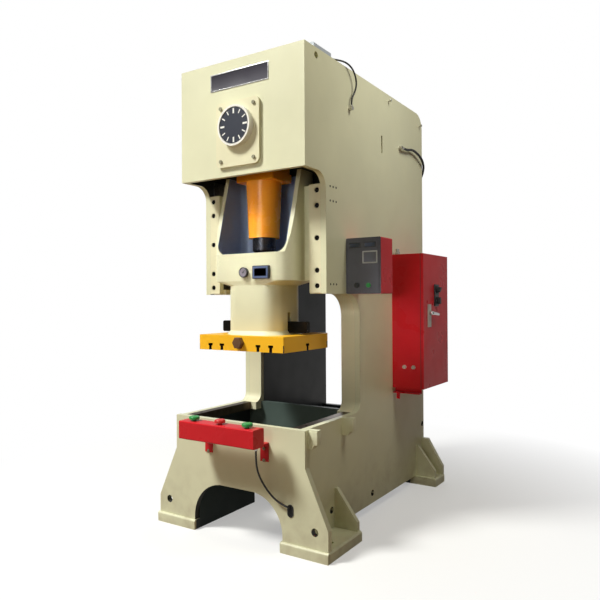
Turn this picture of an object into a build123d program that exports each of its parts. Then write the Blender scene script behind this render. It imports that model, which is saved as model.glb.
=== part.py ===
from build123d import *
import os
from math import acos, cos, pi, radians, sin, sqrt, tan

# Mechanical stamping press with an open C-shaped frame, in millimetres.
# X runs to the right, Y to the back and Z up. The floor is Z = 0, the machine's
# centre plane is X = 0, and Y = 0 lies midway between the floor anchor holes.
# Places along Y are given as distances behind the head's front face.

# Side plates and head
depth = 1860.0
half_width = 510.0
height = 3120.0
side_plate_t = 40.0
head_bottom = height - 765.0
head_plate_t = 35.0
head_corner_radius = 120.0
head_lip_radius = 100.0
inner_half = half_width - side_plate_t

# Floor anchors
anchor_front = 100.0
anchor_rear = depth - 100.0
anchor_half_spacing = half_width + 110.0
anchor_hole_radius = 18.0

# Throat between the head and the bed
throat_depth = 697.0
throat_top = head_bottom - 775.0
throat_top_radius = 160.0
throat_bottom_radius = 65.0
throat_flange_t = 35.0
throat_flange_width = 110.0
bed_top = 755.0

# Base plates, arch and feet
base_overhang = 42.0
base_plate_t = 40.0
base_half_width = half_width + 17.0
base_flare_top = 530.0
base_flare_bottom = 185.0
base_flare_half = half_width + 176.0
rear_plate_top = 560.0
rear_flare_top = 352.0
rear_flare_bottom = 134.0
rear_flare_start = half_width + 50.0
rear_flare_half = half_width + 180.0
arch_half = 360.0
arch_top = 330.0
arch_radius = 168.0
foot_t = 64.0
foot_inner = 350.0
foot_outer = half_width + 184.0
front_foot_back = 365.0
rear_foot_front = depth - 200.0
gusset_t = 30.0
gusset_top = 315.0
gusset_toe_height = 120.0
gusset_toe = half_width + 166.0
gusset_head_width = 18.0
rear_gusset_front = depth - 170.0
lift_hole_radius = 25.0
lift_hole_x = half_width + 84.0
lift_hole_z = 165.0
cable_slot_x = 421.0
cable_slot_z = 261.0
cable_slot_height = 62.0
cable_slot_width = 28.0

rail_width = 60.0
bed_rail_t = 55.0
bolster_hole_x = half_width - 70.0
bolster_hole_y = (110.0, 590.0)
bolster_hole_radius = 8.75
bolster_hole_depth = 45.0
lug_reach = 80.0
lug_bottom = 640.0
lug_t = 45.0
rear_lug_front = 440.0
scrap_half = 230.0
scrap_bottom = 200.0
scrap_top = 520.0
scrap_corner = 60.0

# Guides for the slide
gib_front = 245.0
gib_t = 40.0
gib_inner = half_width - 128.0
gib_bottom = throat_top + 5.0
gib_top = head_bottom - 65.0
gib_bolt_x = half_width - 70.0
gib_bolt_rises = (45.0, 145.0, 355.0, 565.0, 665.0)
gib_bolt_radius = 12.0
gib_head_radius = 18.0
gib_head_depth = 14.0
rail_t = 56.0
rail_depth = 140.0
rail_inner = half_width - 110.0
rail_top = head_bottom + 45.0
liner_t = 9.0
slide_clearance = 0.3

# Ram axis, crankshaft and connecting rod
ram_axis = 268.0
crank_z = height - 454.0
stroke = 160.0
throw = stroke / 2
rod_length = 856.0
pin_z = crank_z - throw
ball_z = pin_z - rod_length
running_clearance = 0.05
main_radius = 80.0
pin_radius = 85.0
pin_half_length = 113.0
web_t = 42.0
web_radius = 125.0
front_journal_radius = 70.0
bush_t = 12.0
boss_radius = 150.0
boss_back = 112.0
stub_radius = 20.0
mid_wall_front = 470.0
rear_wall_front = 1040.0
wall_t = 60.0
mid_wall_bottom = head_bottom - 25.0
rear_wall_bottom = head_bottom - 405.0
top_plate_t = 35.0

# Gear pair
gear_module = 12.0
gear_teeth = 58
pinion_teeth = 13
pressure_angle = radians(20.0)
gear_addendum = 0.8
pinion_addendum = 1.0
dedendum = 1.25
backlash = 0.7
gear_front = 860.0
gear_face = 140.0
gear_web_t = 60.0
gear_hub_radius = 140.0
gear_rim_t = 48.0
pinion_margin = 8.0

# Pinion shaft, flywheel and motor
pinion_shaft_radius = 60.0
flywheel_wall_front = depth - 320.0
flywheel_front = depth - 220.0
flywheel_width = 150.0
flywheel_radius = half_width - 110.0
flywheel_rim_t = 70.0
flywheel_web_t = 50.0
flywheel_hub_radius = 110.0
pulley_radius = 75.0
motor_z = height - 250.0
motor_radius = 145.0
motor_length = 470.0
motor_front = depth - 265.0 - motor_length
motor_shaft_radius = 24.0
motor_shaft_depth = 60.0
shelf_t = 20.0
shelf_gap = 15.0
shelf_reach = 20.0
belt_width = 16.0
belt_t = 11.0
belt_pitch = 26.0
belt_count = 4
belt_edge = 22.0
belt_clearance = 0.5
clutch_radius = 150.0
clutch_t = 38.0

# Slide
slide_half = half_width - 190.0
slide_front = 80.0
slide_corner = 97.0
slide_bottom = ball_z - 63.0
slide_top = slide_bottom + 733.0
slide_wall = 32.0
slide_floor = ball_z + 80.0
window_bottom = slide_floor + 40.0
window_half = slide_half - 34.0
window_corner = 70.0
window_cut_low = 103.0
window_cut_slope = 0.263
neck_half = 205.0
neck_front = 88.0
neck_corner = 100.0
neck_top = slide_bottom - 30.0
skirt_height = 26.0
skirt_flare = 22.0
ear_outer = inner_half - liner_t - slide_clearance
ear_bottom = slide_bottom
ear_top = slide_bottom + 623.0

# Slide plate with its T-slots and shank hole
plate_half = 350.0
plate_front = -4.0
plate_back = 574.0
plate_t = 100.0
plate_top = slide_bottom - 358.0
plate_bottom = plate_top - plate_t
plate_rear_radius = 70.0
slot_width = 22.0
slot_head_width = 38.0
slot_head_height = 16.0
slot_depth = 45.0
slot_places = (-250.0, -150.0, 150.0, 250.0)
side_slot_inner = 90.0
shank_radius = 35.0
clamp_bolt_radius = 20.0
clamp_bolt_head = 40.0
clamp_head_height = 32.0
clamp_bolt_rise = 4.0

# Ball joint and knock-out bar
ball_radius = 90.0
ball_neck_radius = 60.0
screw_radius = 80.0
seat_gap = 18.0
seat_t = 52.0
retainer_t = 25.0
bar_half_length = 357.0
bar_t = 36.0
bar_height = 76.0
bar_bottom = plate_top + 11.0
bar_travel = 60.0
bar_clearance = 1.0

# Dial and cover plate
cover_half = 178.0
cover_bottom = crank_z - 254.0
cover_top = crank_z + 174.0
cover_t = 20.0
cover_corner = 38.0
cover_bolt_x = 136.0
cover_bolt_z = (crank_z - 215.0, crank_z + 134.0)
dial_ring_radius = 132.0
dial_ring_t = 13.0
dial_proud = 40.0
dial_disc_radius = 116.0
dial_disc_t = 8.0

# Electrical cabinet
cabinet_front = depth - 626.0
cabinet_back = depth - 102.0
cabinet_bottom = 858.0
cabinet_top = 1888.0
cabinet_face = half_width + 258.0
cabinet_wall = 5.0
door_t = 22.0
door_gap = 4.0
door_skin = 4.0
gasket_width = 12.0
bracket_drop = 34.0
bracket_t = 8.0
bracket_reach = 220.0
tab_x = (half_width + 30.0, half_width + 57.0)
tab_drop = 86.0
hinge_radius = 7.0
hinge_length = 70.0
hinge_inset = 150.0
handle_y = cabinet_front + 111.0
handle_z = cabinet_bottom + 576.0
handle_length = 196.0
handle_width = 26.0
switch_y = cabinet_back - 264.0
switch_z = (cabinet_bottom + 756.0, cabinet_bottom + 670.0)
switch_size = 84.0
knob_radius = 29.0

# Control gear in the cabinet: two rows of devices over one tall unit
gear_margin = 30.0
gear_plate_t = 4.0
device_depth = 90.0
device_rows = ((190.0, 4, 80.0, 120.0), (430.0, 6, 50.0, 90.0))
unit_depth = 120.0
unit_margin = 80.0
unit_rise = (130.0, 400.0)

# Control panel on the side of the head
panel_front = 505.0
panel_back = 681.0
panel_outer = half_width + 260.0
panel_bottom = throat_top - 2.0
panel_top = throat_top + 372.0
fascia_t = 6.0
fascia_border = 12.0
button_radius = 15.0
button_proud = 14.0
button_recess = 12.0
button_travel = 5.0
run_button_x = half_width + 174.0
run_button_z = panel_bottom + 56.0
selector_x = half_width + 87.0

# Two-hand console on its straps, with palm buttons and a stop button
console_half = 300.0
console_front = -250.0
console_back = -145.0
console_middle = (console_front + console_back) / 2
console_bottom = 656.0
console_top = 770.0
strap_x = 229.0
strap_width = 63.0
strap_bottom = 536.0
strap_t = 6.0
strap_bolt_z = (545.0, 617.0)
palm_x = 215.0
palm_radius = 34.0
palm_stem_radius = 14.0
palm_height = 30.0
palm_stem_bore = 24.0
palm_travel = 8.0

# Cords
cable_radius = 6.0
hose_radius = 6.0
air_hose_radius = 10.0

os.makedirs("parts", exist_ok=True)


def behind(distance):
    """Y of a place that lies this far behind the head's front face."""
    return distance - (anchor_front + anchor_rear) / 2


def front_plane(distance):
    """Plane facing the front, with local x = X and local y = Z."""
    return Plane(origin=(0, behind(distance), 0), x_dir=(1, 0, 0), z_dir=(0, -1, 0))


def side_plane(x):
    """Plane facing the right, with local x = Y and local y = Z."""
    return Plane(origin=(x, 0, 0), x_dir=(0, 1, 0), z_dir=(1, 0, 0))


def round_bar(start, end, radius, x=0.0, z=0.0, mode=Mode.ADD):
    """Cylinder along Y between two distances behind the front face."""
    with BuildSketch(front_plane(start)) as section:
        with Locations((x, z)):
            Circle(radius)
    extrude(section.sketch, amount=start - end, mode=mode)


def slab(x_range, y_range, z_range, mode=Mode.ADD):
    """Flat-sided plate given by its limits, y_range counted from the front face."""
    with BuildSketch(Plane.XY.offset(z_range[0])) as section:
        with Locations(((x_range[0] + x_range[1]) / 2, behind((y_range[0] + y_range[1]) / 2))):
            Rectangle(x_range[1] - x_range[0], y_range[1] - y_range[0])
    extrude(section.sketch, amount=z_range[1] - z_range[0], mode=mode)


def nearest(builder, x, y):
    """Corner of a sketch that lies nearest to a local place."""
    return builder.vertices().sort_by_distance((x, y, 0))[0]


def save(builder, node):
    builder.part.label = node
    export_step(builder.part, f"parts/{node}.step")


# Side plates: one C-shaped plate on each side, with the throat cut from the front.
# The right one carries two welded lugs under the bed's rim.
seat_y = gib_front + gib_t
base_front_back = base_plate_t - base_overhang
rear_plate_front = depth - base_plate_t


def side_profile():
    """C-shaped outline in (Y, Z)."""
    with BuildSketch(side_plane(inner_half)) as profile:
        with BuildLine():
            Polyline(
                (behind(head_plate_t), head_bottom),
                (behind(head_plate_t), height),
                (behind(depth), height),
                (behind(depth), rear_flare_top),
                (behind(rear_plate_front), rear_flare_top),
                (behind(rear_plate_front), foot_t),
                (behind(base_front_back), foot_t),
                (behind(base_front_back), bed_top),
                (behind(throat_depth), bed_top),
                (behind(throat_depth), throat_top),
                (behind(gib_front), throat_top),
                (behind(gib_front), head_bottom),
                close=True,
            )
        make_face()
        fillet(nearest(profile, behind(gib_front), head_bottom), head_lip_radius)
        fillet(nearest(profile, behind(depth), height), head_corner_radius)
        fillet(nearest(profile, behind(throat_depth), throat_top), throat_top_radius)
        fillet(nearest(profile, behind(throat_depth), bed_top), throat_bottom_radius)
    return profile.sketch


lifting_hole = (136.0, height - 48.0, 22.0)
base_side_holes = ((297.0, 182.0, 22.0), (879.0, 136.0, 22.0), (depth - 32.0, 472.0, 22.0))
screw_rows = (gib_top - 15.0, gib_top - 108.0, throat_top + 60.0)
screw_places = (300.0, 338.0, 376.0)
screw_radius_side = 8.0
sight_slot_y = 1068.0
sight_slot_z = height - 410.0
sight_slot_height = 136.0
sight_slot_width = 20.0

with BuildPart() as left_side_plate:
    extrude(mirror(side_profile(), about=Plane.YZ, mode=Mode.PRIVATE), amount=side_plate_t, dir=(-1, 0, 0))
    with BuildSketch(side_plane(-half_width)) as holes:
        for y, z, radius in (lifting_hole, *base_side_holes):
            with Locations((behind(y), z)):
                Circle(radius)
        for z in screw_rows:
            for y in screw_places:
                with Locations((behind(y), z)):
                    Circle(screw_radius_side)
    extrude(holes.sketch, amount=side_plate_t, mode=Mode.SUBTRACT)
save(left_side_plate, "left_side_plate")

with BuildPart() as right_side_plate:
    mirror(left_side_plate.part, about=Plane.YZ)
    with BuildSketch(side_plane(inner_half)) as sight_slot:
        with Locations((behind(sight_slot_y), sight_slot_z)):
            SlotOverall(sight_slot_height, sight_slot_width, rotation=90)
    extrude(sight_slot.sketch, amount=side_plate_t, mode=Mode.SUBTRACT)
    for start in (base_front_back, rear_lug_front):
        with BuildSketch(front_plane(start)) as lug:
            Polygon(
                (half_width, bed_top),
                (half_width + lug_reach, bed_top),
                (half_width + lug_reach, (bed_top + lug_bottom) / 2),
                (half_width + lug_reach / 2, lug_bottom),
                (half_width, lug_bottom),
                align=None,
            )
        extrude(lug.sketch, amount=-lug_t)
save(right_side_plate, "right_side_plate")

# Throat flanges: a bent plate that follows the throat inside each side plate,
# with a foot under its lower bend
with BuildPart() as throat_flanges:
    with BuildSketch(side_plane(inner_half - throat_flange_width)) as ribbon:
        with BuildLine():
            Polyline(
                (behind(seat_y), bed_top),
                (behind(seat_y), throat_top + throat_flange_t),
                (behind(throat_depth + throat_flange_t), throat_top + throat_flange_t),
                (behind(throat_depth + throat_flange_t), bed_top),
                close=True,
            )
        make_face()
        corner = nearest(ribbon, behind(throat_depth + throat_flange_t), throat_top + throat_flange_t)
        fillet(corner, throat_top_radius + throat_flange_t)
    with BuildSketch(side_plane(inner_half - throat_flange_width)) as gap:
        with BuildLine():
            Polyline(
                (behind(seat_y) - 1, bed_top),
                (behind(seat_y) - 1, throat_top),
                (behind(throat_depth), throat_top),
                (behind(throat_depth), bed_top),
                close=True,
            )
        make_face()
        fillet(nearest(gap, behind(throat_depth), throat_top), throat_top_radius)
        fillet(nearest(gap, behind(throat_depth), bed_top), throat_bottom_radius)
    extrude(ribbon.sketch, amount=throat_flange_width)
    extrude(gap.sketch, amount=throat_flange_width, mode=Mode.SUBTRACT)
    slab(
        (inner_half - throat_flange_width, inner_half),
        (throat_depth - throat_bottom_radius, throat_depth),
        (bed_top - bed_rail_t, bed_top),
    )
    mirror(about=Plane.YZ)
save(throat_flanges, "throat_flanges")

# Head front plate, with the boss that carries the front of the crankshaft
front_bore = front_journal_radius + running_clearance + bush_t
with BuildPart() as head_front_plate:
    slab((-half_width, half_width), (0, head_plate_t), (head_bottom, height))
    round_bar(head_plate_t, boss_back, boss_radius, z=crank_z)
    round_bar(0, boss_back, front_bore, z=crank_z, mode=Mode.SUBTRACT)
save(head_front_plate, "head_front_plate")

# Head top plate, bent down at the rear as far as the guard
with BuildPart() as head_top_plate:
    with BuildSketch(side_plane(-inner_half)) as bent:
        with BuildLine():
            Polyline(
                (behind(head_plate_t), height),
                (behind(depth), height),
                (behind(depth), height - 1.2 * head_corner_radius),
                (behind(depth - top_plate_t), height - 1.2 * head_corner_radius),
                (behind(depth - top_plate_t), height - top_plate_t),
                (behind(head_plate_t), height - top_plate_t),
                close=True,
            )
        make_face()
        fillet(nearest(bent, behind(depth), height), head_corner_radius)
        inner_corner = nearest(bent, behind(depth - top_plate_t), height - top_plate_t)
        fillet(inner_corner, head_corner_radius - top_plate_t)
    extrude(bent.sketch, amount=2 * inner_half)
save(head_top_plate, "head_top_plate")


def base_profile(corners, distance):
    """Front view of a base plate, mirrored from its right corners, with an arch between its legs."""
    with BuildSketch(front_plane(distance)) as profile:
        with BuildLine():
            Polyline(*corners, *[(-x, z) for x, z in reversed(corners)], close=True)
        make_face()
        with BuildSketch(mode=Mode.PRIVATE) as arch:
            with Locations((0, arch_top / 2)):
                Rectangle(2 * arch_half, arch_top)
            fillet(arch.vertices().group_by(Axis.Y)[-1], arch_radius)
        add(arch.sketch, mode=Mode.SUBTRACT)
    return profile.sketch


front_corners = (
    (base_half_width, bed_top),
    (base_half_width, base_flare_top),
    (base_flare_half, base_flare_bottom),
    (base_flare_half, foot_t),
)
rear_corners = (
    (inner_half, rear_plate_top),
    (inner_half, rear_flare_top),
    (rear_flare_start, rear_flare_top),
    (rear_flare_half, rear_flare_bottom),
    (rear_flare_half, foot_t),
)
with BuildPart() as base_front_plate:
    extrude(base_profile(front_corners, -base_overhang), amount=-base_plate_t)
    round_bar(-base_overhang, base_front_back, lift_hole_radius, lift_hole_x, lift_hole_z, Mode.SUBTRACT)
    round_bar(-base_overhang, base_front_back, lift_hole_radius, -lift_hole_x, lift_hole_z, Mode.SUBTRACT)
    with BuildSketch(front_plane(-base_overhang)) as cable_slot:
        with Locations((cable_slot_x, cable_slot_z)):
            SlotOverall(cable_slot_height, cable_slot_width, rotation=90)
    extrude(cable_slot.sketch, amount=-base_plate_t, mode=Mode.SUBTRACT)
save(base_front_plate, "base_front_plate")

with BuildPart() as base_rear_plate:
    extrude(base_profile(rear_corners, rear_plate_front), amount=-base_plate_t)
save(base_rear_plate, "base_rear_plate")

# Rails along both sides of the bed, with tapped holes that hold a bolster
with BuildPart() as bed_rails:
    rail_z = (bed_top - bed_rail_t, bed_top)
    rail_end = throat_depth - throat_bottom_radius
    slab((inner_half - rail_width, inner_half), (base_front_back, rail_end), rail_z)
    with BuildSketch(Plane.XY.offset(bed_top)) as bolster_holes:
        for y in bolster_hole_y:
            with Locations((bolster_hole_x, behind(y))):
                Circle(bolster_hole_radius)
    extrude(bolster_holes.sketch, amount=-bolster_hole_depth, mode=Mode.SUBTRACT)
    mirror(about=Plane.YZ)
save(bed_rails, "bed_rails")

# Foot plates with their welded gussets and anchor holes
foot_edge = 10.0
feet = (
    (-base_overhang, front_foot_back, front_foot_back - gusset_t, anchor_front),
    (rear_foot_front, depth, rear_gusset_front, anchor_rear),
)
with BuildPart() as foot_plates:
    for start, end, gusset_start, anchor in feet:
        with BuildSketch(front_plane(start)) as plate:
            Polygon(
                (foot_inner, 0),
                (foot_outer, 0),
                (foot_outer, foot_t - foot_edge),
                (foot_outer - foot_edge, foot_t),
                (foot_inner, foot_t),
                align=None,
            )
        extrude(plate.sketch, amount=start - end)
        with BuildSketch(front_plane(gusset_start)) as gusset:
            Polygon(
                (half_width, foot_t),
                (half_width, gusset_top),
                (half_width + gusset_head_width, gusset_top),
                (gusset_toe, gusset_toe_height),
                (gusset_toe, foot_t),
                align=None,
            )
        extrude(gusset.sketch, amount=-gusset_t)
        with BuildSketch(Plane.XY) as hole:
            with Locations((anchor_half_spacing, behind(anchor))):
                Circle(anchor_hole_radius)
        extrude(hole.sketch, amount=foot_t, mode=Mode.SUBTRACT)
    mirror(about=Plane.YZ)
save(foot_plates, "foot_plates")

# Gib strips in front of the slide's ears, with their bolts
gib_bolt_heights = [gib_bottom + rise for rise in gib_bolt_rises]
with BuildPart() as gib_strips:
    slab((gib_inner, inner_half), (gib_front, seat_y), (gib_bottom, gib_top))
    for z in gib_bolt_heights:
        round_bar(gib_front, seat_y, gib_bolt_radius, gib_bolt_x, z, Mode.SUBTRACT)
        round_bar(gib_front, gib_front + gib_head_depth, gib_head_radius, gib_bolt_x, z, Mode.SUBTRACT)
    mirror(about=Plane.YZ)
save(gib_strips, "gib_strips")

# The screws through the side plates press the liners
bolt_recess = 4.0
screw_recess = 6.0
with BuildPart() as gib_bolts:
    for x in (-half_width, inner_half + screw_recess):
        for z in screw_rows:
            for y in screw_places:
                with BuildSketch(side_plane(x)) as screw:
                    with Locations((behind(y), z)):
                        RegularPolygon(screw_radius_side - 0.5, 6)
                extrude(screw.sketch, amount=side_plate_t - screw_recess)
    for x in (-gib_bolt_x, gib_bolt_x):
        for z in gib_bolt_heights:
            with BuildSketch(front_plane(gib_front + bolt_recess)) as head:
                with Locations((x, z)):
                    RegularPolygon(gib_head_radius - 0.5, 6)
            extrude(head.sketch, amount=bolt_recess - gib_head_depth)
            with BuildSketch(front_plane(gib_front + gib_head_depth)) as shank:
                with Locations((x, z)):
                    RegularPolygon(gib_bolt_radius - 0.5, 8)
            extrude(shank.sketch, amount=gib_head_depth - gib_t)
save(gib_bolts, "gib_bolts")

# Guide rails behind the ears: L-shaped, with a liner against the side plate
ear_front = seat_y + slide_clearance
rail_front = 2 * ram_axis - seat_y + rail_depth
with BuildPart() as guide_rails:
    with BuildSketch(Plane.XY.offset(throat_top + throat_flange_t)) as rail:
        Polygon(
            (inner_half, behind(seat_y)),
            (inner_half, behind(rail_front + rail_t)),
            (rail_inner, behind(rail_front + rail_t)),
            (rail_inner, behind(rail_front)),
            (inner_half - liner_t, behind(rail_front)),
            (inner_half - liner_t, behind(seat_y)),
            align=None,
        )
    extrude(rail.sketch, amount=rail_top - throat_top - throat_flange_t)
    mirror(about=Plane.YZ)
save(guide_rails, "guide_rails")

# Walls between the side plates: three carry shafts, one closes the bed's well
gear_radius = gear_module * gear_teeth / 2
pinion_radius = gear_module * pinion_teeth / 2
pinion_z = crank_z - gear_radius - pinion_radius
main_bore = main_radius + running_clearance + bush_t
pinion_bore = pinion_shaft_radius + running_clearance + bush_t
wall_top = height - top_plate_t


def bearing_wall(front, bottom, top, bores):
    """Plate across the frame with a boss and a bore for each shaft, in the open builder."""
    slab((-inner_half, inner_half), (front, front + wall_t), (bottom, top))
    for z, radius in bores:
        round_bar(front, front + wall_t, radius, z=z, mode=Mode.SUBTRACT)


shelf_top = motor_z - motor_radius - shelf_gap
motor_back = motor_front + motor_length
crank_hole = (crank_z, main_bore)
pinion_hole = (pinion_z, pinion_bore)
with BuildPart() as inner_walls:
    bearing_wall(mid_wall_front, mid_wall_bottom, wall_top, (crank_hole,))
    bearing_wall(rear_wall_front, rear_wall_bottom, wall_top, (crank_hole, pinion_hole))
    bearing_wall(flywheel_wall_front, rear_wall_bottom, shelf_top - shelf_t, (pinion_hole,))
    shelf_z = (shelf_top - shelf_t, shelf_top)
    slab((-inner_half, inner_half), (rear_wall_front + wall_t, motor_back + shelf_reach), shelf_z)
    cross_back = throat_depth + base_plate_t
    slab((-inner_half, inner_half), (throat_depth, cross_back), (foot_t, bed_top))
    with BuildSketch(front_plane(throat_depth)) as scrap_opening:
        with Locations((0, (scrap_bottom + scrap_top) / 2)):
            RectangleRounded(2 * scrap_half, scrap_top - scrap_bottom, scrap_corner)
    extrude(scrap_opening.sketch, amount=-base_plate_t, mode=Mode.SUBTRACT)
save(inner_walls, "inner_walls")

# Plain bearing bushes pressed into the walls and the head
crank_front_radius = front_journal_radius + running_clearance
crank_rear_radius = main_radius + running_clearance
pinion_bush_radius = pinion_shaft_radius + running_clearance
rear_wall_back = rear_wall_front + wall_t
bushes = (
    (0, boss_back, crank_front_radius, crank_z),
    (mid_wall_front, mid_wall_front + wall_t, crank_rear_radius, crank_z),
    (rear_wall_front, rear_wall_back, crank_rear_radius, crank_z),
    (rear_wall_front, rear_wall_back, pinion_bush_radius, pinion_z),
    (flywheel_wall_front, flywheel_wall_front + wall_t, pinion_bush_radius, pinion_z),
)
with BuildPart() as shaft_bushes:
    for start, end, radius, z in bushes:
        with BuildSketch(front_plane(start)) as ring:
            with Locations((0, z)):
                Circle(radius + bush_t)
                Circle(radius, mode=Mode.SUBTRACT)
        extrude(ring.sketch, amount=start - end)
save(shaft_bushes, "shaft_bushes")

# Crankshaft: one forging along Y, with its pin at the bottom of the stroke
pin_front = ram_axis - pin_half_length
pin_back = ram_axis + pin_half_length
stub_front = cover_t + dial_proud - dial_disc_t - 4
crank_end = rear_wall_back - 2.0


def web(start):
    """Crank web: a rounded plate round the shaft and the pin."""
    with BuildSketch(front_plane(start)) as plate:
        with Locations((0, (crank_z + pin_z) / 2)):
            SlotCenterToCenter(throw, 2 * web_radius, rotation=90)
    extrude(plate.sketch, amount=-web_t)


with BuildPart() as crankshaft:
    round_bar(-stub_front, 0, stub_radius, z=crank_z)
    round_bar(0, pin_front - web_t, front_journal_radius, z=crank_z)
    web(pin_front - web_t)
    round_bar(pin_front, pin_back, pin_radius, z=pin_z)
    web(pin_back)
    round_bar(pin_back + web_t, crank_end, main_radius, z=crank_z)
save(crankshaft, "crankshaft")


def gear_outline(teeth, addendum, tooth_angle):
    """Corner points of an involute gear whose first tooth stands at tooth_angle."""
    pitch = gear_module * teeth / 2
    base = pitch * cos(pressure_angle)
    tip = pitch + addendum * gear_module
    root = pitch - dedendum * gear_module
    involute = tan(pressure_angle) - pressure_angle
    half_tooth = (gear_module * pi / 2 - backlash / 2) / (2 * pitch)
    flank = []
    for step in range(4):
        radius = max(root, base) + (tip - max(root, base)) * step / 3
        roll = acos(base / radius)
        flank.append((radius, half_tooth + involute - (tan(roll) - roll)))
    if root < base:
        flank.insert(0, (root, flank[0][1]))
    points = []
    for tooth in range(teeth):
        centre = tooth_angle + 2 * pi * tooth / teeth
        rising = [(r, centre - a) for r, a in flank]
        falling = [(r, centre + a) for r, a in reversed(flank)]
        points += [(r * cos(a), r * sin(a)) for r, a in rising + falling]
    return points


# Main gear, keyed on the crankshaft, with a tooth on the line of centres
gear_back = gear_front + gear_face
gear_rim_radius = gear_radius - dedendum * gear_module - gear_rim_t
web_front = gear_front + (gear_face - gear_web_t) / 2
with BuildPart() as main_gear:
    with BuildSketch(front_plane(gear_front)) as teeth:
        with Locations((0, crank_z)):
            Polygon(*gear_outline(gear_teeth, gear_addendum, -pi / 2), align=None)
    extrude(teeth.sketch, amount=-gear_face)
    round_bar(gear_front, web_front, gear_rim_radius, z=crank_z, mode=Mode.SUBTRACT)
    round_bar(web_front + gear_web_t, gear_back, gear_rim_radius, z=crank_z, mode=Mode.SUBTRACT)
    round_bar(gear_front, gear_back, gear_hub_radius, z=crank_z)
    round_bar(gear_front, gear_back, main_radius, z=crank_z, mode=Mode.SUBTRACT)
    with BuildSketch(front_plane(web_front)) as windows:
        with Locations((0, crank_z)):
            with PolarLocations((gear_rim_radius + gear_hub_radius) / 2, 6, start_angle=30):
                Circle((gear_rim_radius - gear_hub_radius) / 2 - 18)
    extrude(windows.sketch, amount=-gear_web_t, mode=Mode.SUBTRACT)
save(main_gear, "main_gear")

# Pinion shaft, with a tooth space on the line of centres
shaft_end = depth - 20.0
with BuildPart() as pinion_shaft:
    with BuildSketch(front_plane(gear_front - pinion_margin)) as pinion:
        with Locations((0, pinion_z)):
            space_up = pi / 2 + pi / pinion_teeth
            Polygon(*gear_outline(pinion_teeth, pinion_addendum, space_up), align=None)
    extrude(pinion.sketch, amount=-(gear_face + 2 * pinion_margin))
    round_bar(gear_back + pinion_margin, shaft_end, pinion_shaft_radius, z=pinion_z)
save(pinion_shaft, "pinion_shaft")

# Flywheel, with grooves for the belts, running free on the pinion shaft
flywheel_back = flywheel_front + flywheel_width
groove_depth = belt_t + 1.0


def grooves(radius, z):
    """Turn the belt grooves into a rim, in the open builder."""
    for index in range(belt_count):
        start = flywheel_front + belt_edge + index * belt_pitch - belt_width / 2 - belt_clearance
        end = start + belt_width + 2 * belt_clearance
        with BuildSketch(front_plane(start)) as ring:
            with Locations((0, z)):
                Circle(radius + 5)
                Circle(radius - groove_depth, mode=Mode.SUBTRACT)
        extrude(ring.sketch, amount=start - end, mode=Mode.SUBTRACT)


flywheel_web_front = flywheel_front + (flywheel_width - flywheel_web_t) / 2
with BuildPart() as flywheel:
    round_bar(flywheel_front, flywheel_back, flywheel_radius, z=pinion_z)
    rim_inside = flywheel_radius - flywheel_rim_t
    round_bar(flywheel_front, flywheel_web_front, rim_inside, z=pinion_z, mode=Mode.SUBTRACT)
    web_back = flywheel_web_front + flywheel_web_t
    round_bar(web_back, flywheel_back, rim_inside, z=pinion_z, mode=Mode.SUBTRACT)
    round_bar(flywheel_front, flywheel_back, flywheel_hub_radius, z=pinion_z)
    bore = pinion_shaft_radius + running_clearance
    round_bar(flywheel_front, flywheel_back, bore, z=pinion_z, mode=Mode.SUBTRACT)
    grooves(flywheel_radius, pinion_z)
save(flywheel, "flywheel")

# Clutch drum on the end of the pinion shaft, and the rotary air inlet behind it
clutch_front = flywheel_back + 1.0
with BuildPart() as clutch_drum:
    round_bar(clutch_front, clutch_front + clutch_t, clutch_radius, z=pinion_z)
    round_bar(clutch_front, clutch_front + clutch_t, pinion_shaft_radius, z=pinion_z, mode=Mode.SUBTRACT)
    chamfer(clutch_drum.faces().sort_by(Axis.Y)[-1].edges().sort_by(SortBy.LENGTH)[-1], 6)
save(clutch_drum, "clutch_drum")

guard_t = 4.0
union_radius = 26.0
union_front = shaft_end + 0.3
union_back = depth + guard_t + 34
union_port_y = depth + guard_t + 17
with BuildPart() as rotary_union:
    round_bar(union_front, union_back, union_radius, z=pinion_z)
save(rotary_union, "rotary_union")

# Rear guard over the flywheel and belts, held by the union's flange
guard_bottom = height - 1320.0
guard_top = height - head_corner_radius - 4.0
guard_half = half_width - 10.0
with BuildPart() as rear_guard:
    slab((-guard_half, guard_half), (depth, depth + guard_t), (guard_bottom, guard_top))
    fillet(rear_guard.edges().filter_by(Axis.Y), 30)
    round_bar(depth, depth + guard_t, union_radius, z=pinion_z, mode=Mode.SUBTRACT)
    with BuildSketch(front_plane(depth)) as vents:
        with Locations((0, (motor_z + crank_z) / 2)):
            with GridLocations(200, 44, 3, 6):
                SlotOverall(150, 18)
    extrude(vents.sketch, amount=-guard_t, mode=Mode.SUBTRACT)
save(rear_guard, "rear_guard")

# Motor, with the pulley and the belts
foot_reach = 120.0
fin_count = 20
with BuildPart() as motor:
    round_bar(motor_front, motor_back, motor_radius - 14, z=motor_z)
    with BuildSketch(front_plane(motor_front + 60)) as fins:
        with Locations((0, motor_z)):
            with PolarLocations(motor_radius - 10, fin_count):
                Rectangle(24, 5)
    extrude(fins.sketch, amount=-(motor_length - 90))
    round_bar(motor_front, motor_front + 50, motor_radius, z=motor_z)
    round_bar(motor_back - 25, motor_back, motor_radius, z=motor_z)
    slab((-foot_reach, foot_reach), (motor_front + 80, motor_back - 60), (shelf_top, shelf_top + 34))
    bore = motor_shaft_radius + running_clearance
    round_bar(motor_back - motor_shaft_depth, motor_back, bore, z=motor_z, mode=Mode.SUBTRACT)
save(motor, "motor")

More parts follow.
